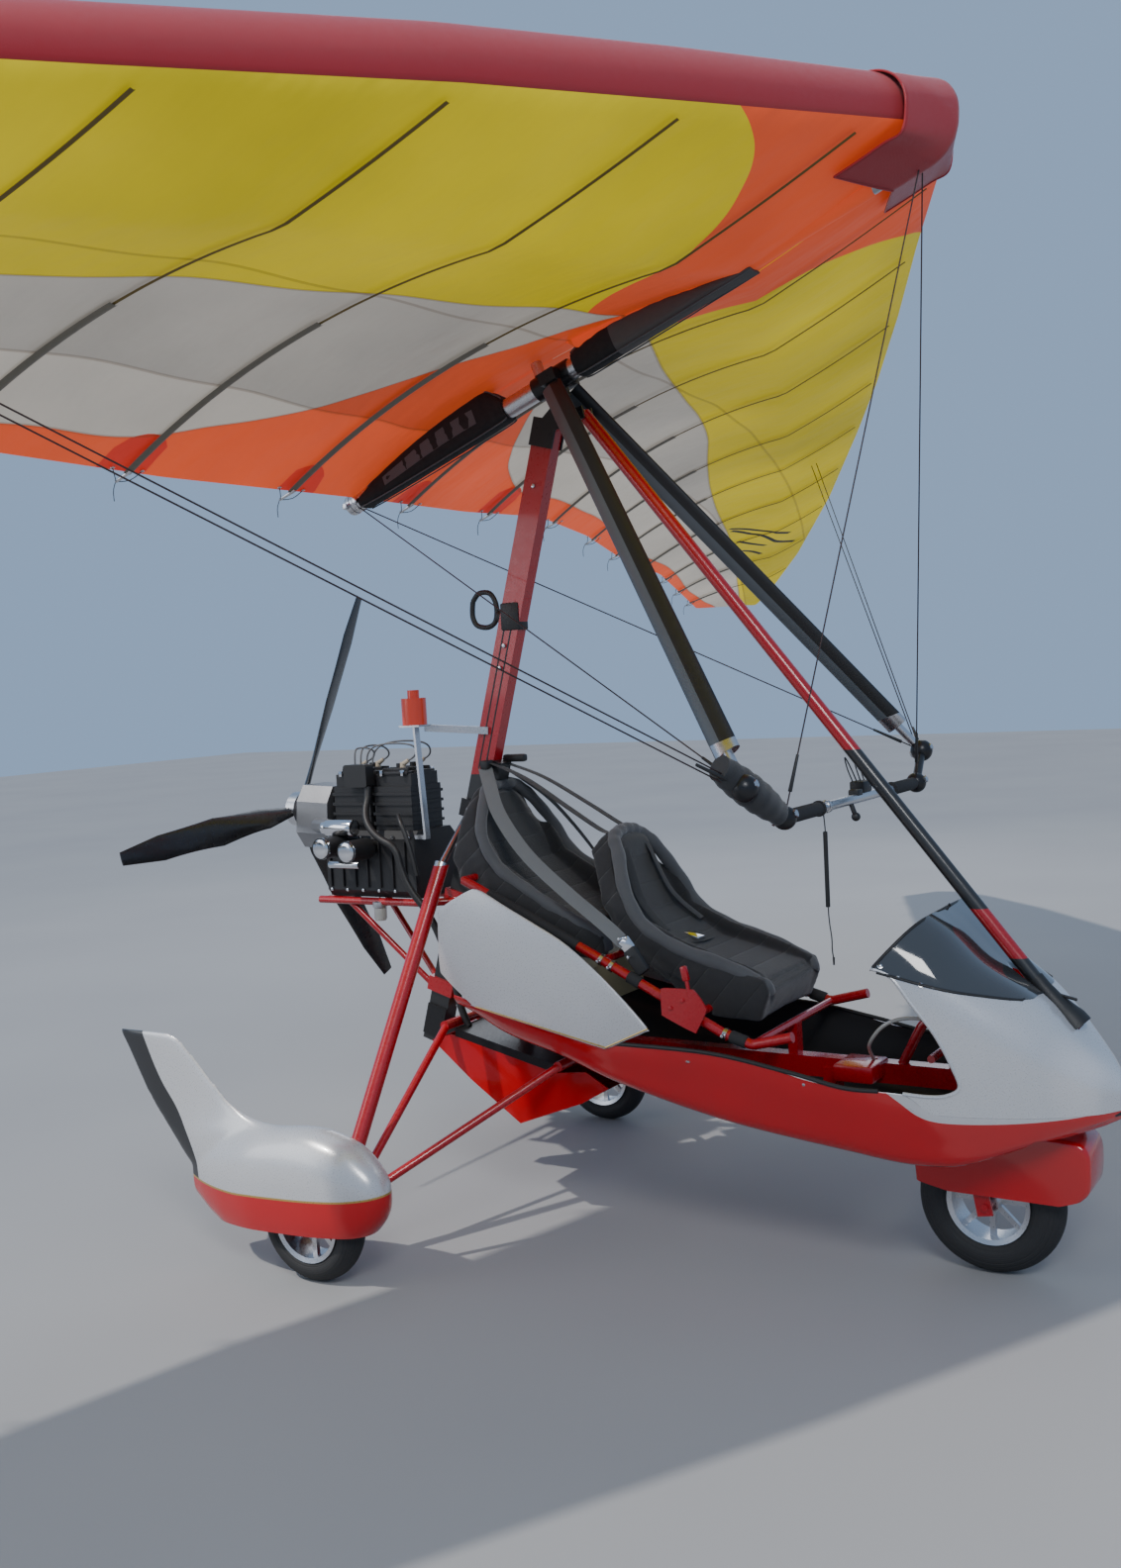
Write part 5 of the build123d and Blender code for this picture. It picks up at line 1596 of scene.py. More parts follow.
    def nose(self) -> None:
        """The cowl and the screen, cut from one smooth shell."""
        opening = [*self.cut[:2], *spline(self.cut[2:11], 60), *self.cut[11:]]
        line = spline(SCREEN_FOOT, 30)
        over = [*line, (2.010, 1.40), (1.500, 1.40)]
        foot, run = at(*self.strut_foot), Vector(self.strut_run)
        for name, node, outside, inside in (("nose_shell", "nose_cowl", "silver_shell", "red_shell"),
                                            ("screen_shell", "windscreen", "smoked_screen", "smoked_screen")):
            form = Form()
            form.patch(56, self.ring, self.cowl_place)
            walled(form, self.wall)
            piece = form.done(name, "trike", outside, outside, inside, angle=35)
            carve(piece, self.prism(opening))
            glass = node == "windscreen"
            gap = 0.0015 if glass else 0.0
            carve(piece, self.prism([(x, z + gap) for x, z in over]), glass)
            strut = Form()
            strut.rod(foot - run * 0.05, foot + run * 0.35, 0.033, steps=32)
            carve(piece, strut)
            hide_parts(node)
        self.lips(opening[2:-3], line)
        self.boot()

    def lips(self, opening: Table, line: Table) -> None:
        """Rolled lip round the cowl's opening and the seal under the screen.

        Args:
            opening: The cowl's opening as (station, height) points.
            line: The screen's foot as (station, height) points.
        """
        lip, seal = Form(), Form()
        first = self.cowl[0][0] + 0.0001
        rear = spline(((1.556, 0.916), (1.60, 0.967), (1.640, 1.012), (1.672, 1.040)), 12)
        for side in (-1, 1):
            path = [at(x, side * (self.side_of(max(x, first), z) - 0.003), z) for x, z in opening]
            lip.tube(path, 0.0055, 8)
            path = [at(x, side * (self.side_of(x, z) + 0.001), z) for x, z in line if x > 1.565]
            seal.tube(path, 0.004, 8)
            seal.tube([at(x, side * self.side_of(x, z), z) for x, z in rear], 0.0045, 8)
        lip.done("nose_lip", "trike", "silver_shell")
        seal.done("screen_seal", "trike", "black_plastic")

    def boot(self) -> None:
        """Rubber boot where the strut goes through the cowl."""
        form = Form()
        form.lathe(((0.0, 0.125), (0.0240, 0.125), (0.0250, 0.09), (0.0300, 0.05), (0.0400, 0.012),
                    (0.0500, -0.02), (0.0520, -0.045), (0.0, -0.050)), at(*self.strut_foot),
                   Vector(self.strut_run), 28)
        form.done("strut_boot", "trike", "black_plastic")

    def spats(self) -> None:
        """The spats, each with its fin blended into the body."""
        for side in Side:
            y0 = REAR_WHEEL[1] * side.value
            form = Form()
            rows = []
            for k in range(41):
                x = lerp(self.spat[-1][0], self.spat[0][0], 0.5 - 0.5 * math.cos(math.pi * k / 40))
                half, top = self.smooth_level(self.spat[::-1], x)[:2]
                rows.append((x, half, top, level(self.belt, 1, x)))
            form.loft([(at(x, y0, belt), SPAN * half, UP * (top - belt)) for x, half, top, belt in rows],
                      2.5, 40)
            fin = [(at(fx, y0, fz), at(rx, y0, rz), half) for fx, fz, rx, rz, half in spline(self.fin, 30)]
            form.loft([((front + rear) / 2, SPAN * half, (front - rear) / 2) for front, rear, half in fin],
                      2.0, 28)
            piece = form.done(f"spat_shell_{side.word}", "trike", "silver_shell", "spat_shell", angle=180)
            even_skin(piece, self.wall)
            bm = bmesh.new()
            bm.from_mesh(piece.data)
            root = at(-0.20, y0, 0.435)
            for turn in range(46):
                reach = 0.20 - 0.003 * turn
                relax(bm, [v for v in bm.verts
                           if (v.co - root).length < reach or turn < 8 and v.co.z < 0.50])
            bm.to_mesh(piece.data)
            bm.free()
            piece.data.shade_smooth()
            under = Form()
            under.slab([at(-1.0, y0 - 0.2, -0.2), at(1.0, y0 - 0.2, -0.2), at(1.0, y0 - 0.2, 0.215),
                        at(-1.0, y0 - 0.2, 0.105)], SPAN * 0.4)
            carve(piece, under)
            well = Form()
            well.loft([(at(x, y0, belt - 0.004), SPAN * (half - self.wall), UP * (top - belt - self.wall))
                       for x, half, top, belt in rows[5:-5]], 2.5, 40)
            carve(piece, well)
            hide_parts(f"spat_{side.word}")

    def build(self) -> None:
        """Makes every shell."""
        self.hull()
        self.panels()
        self.mudguard()
        self.nose()
        self.spats()


@dataclass
class Battens:
    """Batten pockets under the cloth, strips of painted batten shadow in front of them, and their tips and
    ties at the back edge.
    """

    sail: Sail
    runs: Table = ((0.29, 0.32), (0.82, 0.95), (1.40, 1.56), (2.02, 2.19), (2.62, 2.76), (3.18, 3.30),
                   (3.73, 3.83), (4.25, 4.32), (4.74, 4.80))
    pocket: float = 0.030
    thin: float = 0.013

    def height(self, c: float, y: float) -> float:
        """Height of the cloth's underside at a place.

        Args:
            c: The place along the keel.
            y: The place along the span.

        Returns:
            The height over the keel.
        """
        rows = sorted(self.sail.section(y)[:self.sail.under + 1])
        for (c0, n0), (c1, n1) in zip(rows, rows[1:]):
            if c0 <= c <= c1:
                return lerp(n0, n1, (c - c0) / max(c1 - c0, 1e-9)) - 0.012
        return (rows[0][1] if c < rows[0][0] else rows[-1][1]) - 0.004

    def strip(self, form: Form, run: Sequence[float], start: float, end: float, width: float,
              drop: float) -> None:
        """Sews one strip under the cloth.

        Args:
            form: The mesh that it joins.
            run: The batten's place at its front and at its back.
            start: The share of its run where the strip starts.
            end: The share where it ends.
            width: The strip's width.
            drop: How far it hangs below the cloth.
        """
        front = self.sail.row(run[0])[1] - 0.045
        back = self.sail.row(run[1])[3]

        def place(u: float, v: float) -> Vector:
            """Point of the strip at shares of its length and width.

            Args:
                u: The share of its length.
                v: The share of its width.

            Returns:
                The point.
            """
            share = lerp(start, end, u)
            c, y = lerp(front, back, share), lerp(run[0], run[1], share)
            y += (v - 0.5) * width
            return wing(c, y, self.height(c, y) - drop * math.sin(math.pi * v) - 0.001)

        form.patch(24, 4, place)

    def build(self) -> None:
        """Makes the pockets, the painted batten shadows, the tips and the ties of both sides."""
        pockets, lines, tips, ties = Form(), Form(), Form(), Form()
        for run in self.runs:
            # The thin dark strips in front of the pockets are a painted shadow of the battens, seen through
            # the cloth.
            self.strip(lines, run, 0.0, 0.60, self.thin, 0.002)
            self.strip(pockets, run, 0.58, 0.995, self.pocket, 0.006)
            back = self.sail.row(run[1])
            tip = wing(back[3], run[1], back[4] - 0.012)
            end = wing(back[3] - 0.042, run[1] + 0.004, back[4] - 0.014)
            tips.rod(tip + ALONG * 0.03, end, 0.0065, 0.005, 10, 0.002)
            for reach in (-0.055, 0.06):
                eye = wing(back[3] + 0.018, run[1] + reach, back[4] - 0.003)
                loop = spline([end, (end + eye) / 2 - UPRIGHT * 0.012, eye], 7)
                ties.tube([Vector(p) for p in loop], 0.0014, 5)
                tips.lathe(((0.003, -0.002), (0.007, -0.002), (0.0075, 0.0), (0.007, 0.002), (0.003, 0.002)),
                           eye, UPRIGHT, 12)
            tail = spline([end, end - ALONG * 0.02 - UPRIGHT * 0.02, end - ALONG * 0.03 - UPRIGHT * 0.05], 6)
            ties.tube([Vector(p) for p in tail], 0.0013, 5)
        for form in (pockets, lines, tips, ties):
            form.mirror()
        pockets.done("batten_pockets", "wing", "sailcloth", "batten_cloth")
        lines.done("batten_lines", "wing", "sailcloth", "batten_shadow")
        tips.done("batten_tips", "wing", "bare_alloy")
        ties.done("batten_ties", "wing", "dark_fabric", "black_webbing")


@dataclass
class KeelCovers:
    """Soft black covers over the keel, one behind the hang point and one in front."""

    rear: Table = ((-0.850, -0.036, 0.004), (-0.76, -0.040, 0.034), (-0.640, -0.042, 0.060),
                   (-0.54, -0.043, 0.086), (-0.440, -0.043, 0.100), (-0.34, -0.043, 0.100),
                   (-0.250, -0.042, 0.090), (-0.205, -0.040, 0.052), (-0.192, -0.036, 0.034))
    front: Table = ((0.097, -0.038, 0.040), (0.12, -0.042, 0.048), (0.18, -0.043, 0.057),
                    (0.250, -0.043, 0.060), (0.33, -0.043, 0.052), (0.420, -0.043, 0.040),
                    (0.50, -0.043, 0.022), (0.560, -0.042, 0.006), (0.65, -0.042, -0.012),
                    (0.735, -0.041, -0.033))
    half: float = 0.0385

    def cover(self, form: Form, table: Table) -> None:
        """Lofts one cover along the keel, rounder in the middle of its length.

        Args:
            form: The mesh that it joins.
            table: Rows of place along the keel, lower edge and upper edge.
        """
        rows = spline(table, 44)
        rings = []
        for k, (c, low, high) in enumerate(rows):
            swell = 1.0 + 0.05 * math.sin(math.pi * k / 43) + 0.02 * math.sin(k * 1.7)
            middle, tall = (low + high) / 2, max((high - low) / 2, 0.006)
            rings.append((wing(c, 0.0, middle), SPAN * self.half * swell, UPRIGHT * tall))
        form.loft(rings, 2.9, 28)

    def badge_point(self, side: int, u: float, v: float) -> Vector:
        """Point of the plain patch on the rear cover.

        Args:
            side: The sign of the patch's Y.
            u: The share of its length.
            v: The share of its height.

        Returns:
            The point.
        """
        c = lerp(-0.72, -0.30, u)
        low = lerp(level(self.rear, 1, c), level(self.rear, 2, c), 0.30 + 0.36 * v)
        bulge = self.half * (1.035 + 0.02 * math.sin(math.pi * u) * math.sin(math.pi * v))
        return wing(c, side * bulge, low)

    def build(self) -> None:
        """Makes both covers, their piping, patches, end bands and rollers."""
        form = Form()
        self.cover(form, self.rear)
        self.cover(form, self.front)
        piece = form.done("keel_cloth", "wing", "dark_fabric", "keel_fabric", angle=50)
        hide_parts("keel_covers")
        seams = Form()
        for table in (self.rear, self.front):
            rows = spline(table, 40)
            for side in (-1, 1):
                seams.tube([wing(c, side * self.half * 0.80, low + 0.002) for c, low, _ in rows], 0.0025, 6)
                seams.tube([wing(c, side * self.half * 0.62, high - 0.001) for c, _, high in rows], 0.0025, 6)
        seams.done("keel_cloth_piping", "wing", "dark_fabric", "bolster_cloth")
        badge = Form()
        for side in (-1, 1):
            badge.patch(20, 6, lambda u, v: self.badge_point(side, u, v))
        badge.done("keel_cloth_patch", "wing", "dark_fabric", "bolster_cloth")
        hold = Form()
        for c in (-0.90, -0.875, 0.045):
            hold.lathe(((0.0335, -0.008), (0.0355, -0.008), (0.036, 0.0), (0.0355, 0.008), (0.0335, 0.008)),
                       wing(c, 0, 0), ALONG, 28)
        for c in (-0.905, -0.86):
            hold.rod(wing(c, -0.045, -0.006), wing(c, 0.045, -0.006), 0.005, steps=12, soft=0.001)
            hold.rod(wing(c, 0.034, -0.006), wing(c, 0.048, -0.006), 0.012, steps=16, soft=0.002)
            hold.rod(wing(c, -0.048, -0.006), wing(c, -0.034, -0.006), 0.012, steps=16, soft=0.002)
        hold.done("keel_rollers", "wing", "bare_alloy", "bolt_steel")


@dataclass
class NoseCone:
    """Cloth cap over the front of the sail."""

    table: Table = ((-0.2, 1.304, 0.011, 0.024), (0.0, 1.389, 0.004, 0.056), (0.2, 1.304, 0.011, 0.024))
    thick: float = 0.0022
    flat: tuple[float, float] = (0.42, 0.62)
    around: int = 60
    wide: int = 36

    def profile(self, y: float) -> list[tuple[float, ...]]:
        """Points round the cap at a place along the span, from its lower lip to its upper lip.

        Args:
            y: The place along the span.

        Returns:
            The points (c, n).
        """
        c, rise, drop = (level(self.table, k, y) for k in (1, 2, 3))
        return [(c - 0.210, rise - drop), (c - 0.13, rise - drop + 0.002), (c - 0.060, rise - drop + 0.006),
                (c - 0.006, rise - 0.018), (c + 0.026, rise + 0.030), (c + 0.041, rise + 0.080),
                (c + 0.030, rise + 0.130), (c - 0.010, rise + 0.168), (c - 0.080, rise + 0.190),
                (c - 0.15, rise + 0.193), (c - 0.210, rise + 0.192)]

    def place(self, u: float, v: float) -> Vector:
        """Point of the cap at a share of its width and a share round it.

        Args:
            u: The share of its width.
            v: The share round it.

        Returns:
            The point.
        """
        y = lerp(self.table[0][0], self.table[-1][0], u)
        c, n = spline(self.profile(y), self.around + 1)[int(round(v * self.around))]
        fold = 0.0025 * math.sin(9 * v + 14 * y) * math.sin(math.pi * u)
        return wing(c - abs(fold), y, n)

    def build(self) -> None:
        """Makes the cap, its hems and its webbing."""
        form = Form()
        form.patch(self.wide, self.around, self.place)
        bmesh.ops.recalc_face_normals(form.bm, faces=form.bm.faces[:])
        piece = form.done("nose_cloth", "wing", "red_cloth", "maroon_cloth", angle=60)
        wall = piece.modifiers.new("wall", "SOLIDIFY")
        wall.thickness = self.thick
        wall.offset = -1.0
        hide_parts("nose_cone")
        hems = Form()
        for u in (0.0, 1.0):
            hems.tube([self.place(u, k / self.around) for k in range(self.around + 1)], 0.0035, 8)
        for v in (0.0, 1.0):
            hems.tube([self.place(k / self.wide, v) for k in range(self.wide + 1)], 0.003, 6)
        hems.done("nose_hems", "wing", "red_cloth", "maroon_cloth")
        straps = Form()
        for y in (-0.02, 0.02):
            path = [wing(1.292, y, -0.040), wing(1.300, y * 1.2, -0.030), wing(1.31, y * 1.5, -0.020)]
            straps.tube(path, 0.012, 10, flat=(1.0, 0.14), up=ALONG)
        straps.done("nose_straps", "wing", "dark_fabric", "black_webbing")


@dataclass
class Seat:
    """A padded seat shell with a rolled edge."""

    node: str
    grow: float
    rim: Table
    thick: float
    voxel: float = 0.0075
    frames: int = 20

    def build(self, node: Piece) -> None:
        """Makes the shell from the solid's own shape, then its roll.

        Args:
            node: The solid that the seat stands for.
        """
        form = Form()
        form.bm.from_mesh(node.data)
        bmesh.ops.remove_doubles(form.bm, verts=form.bm.verts[:], dist=0.0005)
        shell = form.done(f"{self.node}_pad", "trike", "seat_fabric", "seat_cloth", angle=180)
        even_skin(shell, self.voxel)
        self.smooth(shell, 3)
        self.fill(shell)
        self.smooth(shell, 2)
        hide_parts(self.node)
        self.roll()

    def smooth(self, shell: Piece, times: int) -> None:
        """Evens out the skin.

        Args:
            shell: The seat's shell.
            times: How many times it is evened.
        """
        bm = bmesh.new()
        bm.from_mesh(shell.data)
        for _ in range(times):
            relax(bm, bm.verts)
        bm.to_mesh(shell.data)
        bm.free()
        shell.data.shade_smooth()

    def fill(self, shell: Piece) -> None:
        """Swells the shell as cloth under a little pressure, and caps how far it may move.

        Args:
            shell: The seat's shell.
        """
        before = [vert.co.copy() for vert in shell.data.vertices]
        cloth = shell.modifiers.new("fill", "CLOTH")
        cloth.settings.quality = 4
        cloth.settings.mass = 0.3
        cloth.settings.tension_stiffness = 18
        cloth.settings.compression_stiffness = 18
        cloth.settings.shear_stiffness = 6
        cloth.settings.bending_stiffness = 0.6
        cloth.settings.use_pressure = True
        cloth.settings.uniform_pressure_force = 4.0
        cloth.settings.effector_weights.gravity = 0.0
        cloth.collision_settings.use_collision = False
        cloth.point_cache.frame_start = 1
        cloth.point_cache.frame_end = self.frames
        scene = bpy.context.scene
        for step in range(1, self.frames + 1):
            scene.frame_set(step)
        applied(shell)
        scene.frame_set(1)
        for vert, old in zip(shell.data.vertices, before):
            move = vert.co - old
            if move.length > self.grow:
                vert.co = old + move.normalized() * self.grow

    def roll(self) -> None:
        """Rolled grey edge round the shell, with its tucks."""
        half = [Vector(at(*row)) for row in self.rim]
        whole = half + [flipped(point) for point in reversed(half)]
        rows = spline([tuple(point) for point in whole], 150)

        def girth(share: float) -> float:
            """Radius at a share of the roll."""
            return self.thick * (1.0 + 0.05 * math.sin(share * 150) + 0.03 * math.sin(share * 61))

        form = Form()
        form.tube([Vector(row) for row in rows], girth, 16)
        piece = form.done(f"{self.node}_roll", "trike", "seat_fabric", "bolster_cloth")


def seats() -> tuple[Seat, Seat]:
    """The front and the rear seat.

    Returns:
        The seats.
    """
    front = ((1.176, -0.165, 0.790), (1.165, -0.178, 0.818), (1.05, -0.190, 0.868), (0.905, -0.194, 0.912),
             (0.785, -0.190, 0.978), (0.722, -0.178, 1.080), (0.672, -0.120, 1.185), (0.640, -0.085, 1.226),
             (0.630, -0.03, 1.243))
    rear = ((0.672, -0.215, 0.900), (0.655, -0.224, 0.945), (0.52, -0.226, 1.010), (0.400, -0.226, 1.078),
            (0.290, -0.224, 1.150), (0.226, -0.212, 1.250), (0.190, -0.138, 1.345), (0.168, -0.085, 1.388),
            (0.160, -0.03, 1.394))
    return Seat("front_seat", 0.010, front, 0.021), Seat("rear_seat", 0.008, rear, 0.019)


@dataclass
class Belts:
    """Webbing of both harnesses, with the buckles."""

    width: float = 0.046

    def strap(self, form: Form, points: Table, up: Vector, width: float | None = None) -> None:
        """Adds a strap along a path of (station, y, z) points."""
        rows = spline(points, 40)
        form.tube([at(*row) for row in rows], (width or self.width) / 2, 12, flat=(1.0, 0.075), up=up)

    def build(self) -> None:
        """Makes the straps, adjusters and buckles."""
        grey = Form()
        self.strap(grey, ((0.142, -0.05, 1.452), (0.19, -0.10, 1.402), (0.27, -0.17, 1.31),
                          (0.40, -0.222, 1.19), (0.56, -0.256, 1.08), (0.70, -0.275, 0.99),
                          (0.775, -0.285, 0.935)), Vector((0.35, -0.6, 0.7)))
        self.strap(grey, ((0.142, 0.05, 1.452), (0.19, 0.10, 1.402), (0.27, 0.17, 1.31), (0.40, 0.205, 1.14),
                          (0.50, 0.17, 1.00), (0.60, 0.10, 0.93)), Vector((0.35, 0.6, 0.7)))
        grey.done("rear_harness", "trike", "dark_fabric", "grey_webbing")
        black = Form()
        for side in (-1, 1):
            self.strap(black, ((0.150, side * 0.03, 1.470), (0.30, side * 0.05, 1.415),
                               (0.46, side * 0.065, 1.325), (0.585, side * 0.07, 1.252),
                               (0.632, side * 0.07, 1.236), (0.672, side * 0.075, 1.19),
                               (0.735, side * 0.10, 1.04), (0.83, side * 0.12, 0.95)),
                       Vector((0.3, 0.0, 1.0)), 0.038)
        self.strap(black, ((0.70, -0.19, 0.90), (0.78, -0.12, 0.905), (0.87, -0.02, 0.905),
                           (0.86, 0.10, 0.90), (0.78, 0.19, 0.90)), Vector((0.2, 0.0, 1.0)), 0.042)
        black.done("front_harness", "trike", "dark_fabric", "black_webbing")
        metal = Form()
        metal.block(at(0.785, -0.288, 0.930), (0.050, 0.016, 0.040), 0.004, Matrix.Rotation(0.9, 4, "Y"))
        for x, z in ((0.772, 0.955), (0.800, 0.902)):
            metal.rod(at(x, -0.318, z), at(x, -0.262, z), 0.0045, steps=12, soft=0.001)
        metal.block(at(0.86, 0.0, 0.915), (0.055, 0.05, 0.014), 0.004, Matrix.Rotation(0.3, 4, "Y"))
        metal.done("harness_buckles", "trike", "filter", "filter_chrome")
        dark = Form()
        dark.block(at(0.815, -0.290, 0.888), (0.085, 0.026, 0.046), 0.008, Matrix.Rotation(0.95, 4, "Y"))
        dark.block(at(0.145, 0.0, 1.462), (0.03, 0.13, 0.03), 0.006)
        dark.block(at(0.20, 0.045, 1.478), (0.085, 0.03, 0.026), 0.008)
        dark.done("harness_catch", "trike", "black_plastic")


@dataclass
class Pod:
    """Trim of the pod: edgings, screws and what lies in the nose."""

    nodes: dict[str, Piece]
    rim: Table = ((0.732, 0.352, 0.646), (1.061, 0.352, 0.645), (1.300, 0.348, 0.612), (1.459, 0.344, 0.582),
                  (1.560, 0.335, 0.579))
    line: Table = ((0.269, 0.722), (0.732, 0.632), (0.878, 0.700))

    def skin(self, name: str, point: Vector) -> tuple[Vector, Vector]:
        """Nearest point of a solid and the way it faces there."""
        _, place, normal, _ = self.nodes[name].closest_point_on_mesh(point)
        return place, normal

    def edging(self) -> None:
        """Soft black edging on the cockpit's rim, and the gold line under the side panels."""
        form = Form()
        for side in (-1, 1):
            rows = spline(self.rim, 50)
            form.tube([at(x, side * (y - 0.002), z + 0.002) for x, y, z in rows], 0.0065, 8)
        form.done("cockpit_edging", "trike", "black_plastic")
        line = Form()
        for side in (-1, 1):
            corners = [at(x, side * 0.3592, z + 0.004) for x, z in self.line]
            for a, b in zip(corners, corners[1:]):
                line.rod(a, b, 0.0024, steps=8)
        line.done("side_panel_line", "trike", "bare_alloy", "gold_anodised")

    def screws(self) -> None:
        """Screws with washers along the screen's foot, the panels and the cowl."""
        form = Form()
        wanted = []
        for side in (-1, 1):
            for k in range(6):
                x = lerp(1.56, 1.97, k / 5)
                z = level(SCREEN_FOOT, 1, x) + 0.014
                wanted.append(("windscreen", at(x, side * 0.5, z)))
            wanted += [("windscreen", at(x, side * 0.4, z)) for x, z in ((1.60, 0.965), (1.655, 1.04))]
            wanted += [("pod_hull", at(x, side * 0.5, z))
                       for x, z in ((0.25, 0.70), (0.6, 0.63), (1.0, 0.6), (1.35, 0.55))]
        for name, near in wanted:
            place, normal = self.skin(name, near)
            form.lathe(((0.0, 0.0035), (0.003, 0.0033), (0.0055, 0.0022), (0.0060, 0.0006), (0.0085, 0.0003),
                        (0.0088, -0.001)), place, normal, 14)
        form.done("pod_screws", "trike", "bare_alloy", "bolt_steel")

    def hoses(self) -> None:
        """Clear hose in the nose, and the box that it leaves."""
        start, _ = self.skin("main_beam", at(1.441, -0.045, 0.60))
        path = [start, start + Vector((0.0, -0.035, 0.035)), at(1.46, -0.130, 0.655), at(1.52, -0.150, 0.725),
                at(1.60, -0.140, 0.745), at(1.67, -0.100, 0.720), at(1.735, -0.060, 0.655)]
        hose = settle(strand("nose_hose", path, 0.0055), "trike", "tank", "clear_hose")
        tuple(start)
        box = Form()
        box.block(at(1.41, -0.06, 0.560), (0.12, 0.14, 0.05), 0.008)
        box.rod(start - Vector((0, 0, 0.01)), start + Vector((0, -0.004, 0.014)), 0.009, steps=14, soft=0.002)
        box.done("nose_box", "trike", "red_paint")

    def build(self) -> None:
        """Makes all of the trim."""
        self.edging()
        self.screws()
        self.hoses()


@dataclass
class SeatFrame:
    """Foam sleeves and the lever on the seat frame."""

    rail: Table = ((0.208, 1.115), (0.674, 0.899), (1.091, 0.695), (1.183, 0.668), (1.305, 0.700))
    half: float = 0.3

    def on_rail(self, x: float, side: int) -> Vector:
        """Point on a rail's middle line at a station."""
        return at(x, side * self.half, level(self.rail, 1, x))

    def build(self) -> None:
        """Makes the sleeves, the clips, the lever's plate and its knob."""
        foam = Form()
        for side in (-1, 1):
            for x0, x1 in ((0.30, 0.62), (0.79, 0.83), (1.115, 1.165)):
                foam.rod(self.on_rail(x0, side), self.on_rail(x1, side), 0.0185, steps=20, soft=0.003)
        foam.done("rail_foam", "trike", "black_plastic", "foam_sleeve")
        clips = Form()
        for side in (-1, 1):
            for x in (0.70, 0.735, 1.10):
                place = self.on_rail(x, side)
                run = (self.on_rail(x + 0.02, side) - place).normalized()
                clips.lathe(((0.0155, -0.006), (0.018, -0.006), (0.018, 0.006), (0.0155, 0.006)),
                            place, run, 20)
                clips.rod(place + SPAN * 0.016 * side, place + SPAN * 0.030 * side, 0.005, steps=10,
                          soft=0.001)
        clips.done("rail_clips", "trike", "bare_alloy", "bolt_steel")
        lever = Form()
        corners = spline(((0.914, 0.815), (0.925, 0.822), (1.005, 0.823), (1.025, 0.817), (1.056, 0.775),
                          (1.056, 0.760), (1.026, 0.705), (1.012, 0.700), (0.922, 0.738), (0.914, 0.750),
                          (0.914, 0.815)), 44)
        lever.slab([at(x, -0.336, z) for x, z in corners[:-1]], SPAN * 0.007)
        for x, z in ((0.985, 0.790), (0.945, 0.765)):
            lever.rod(at(x, -0.341, z), at(x, -0.334, z), 0.006, steps=12, soft=0.001)
        lever.rod(at(1.006, -0.332, 0.800), at(0.996, -0.332, 0.862), 0.006, steps=12)
        lever.block(at(0.994, -0.332, 0.868), (0.022, 0.016, 0.045), 0.006, Matrix.Rotation(-0.2, 4, "Y"))
        lever.done("rail_lever", "trike", "red_paint")


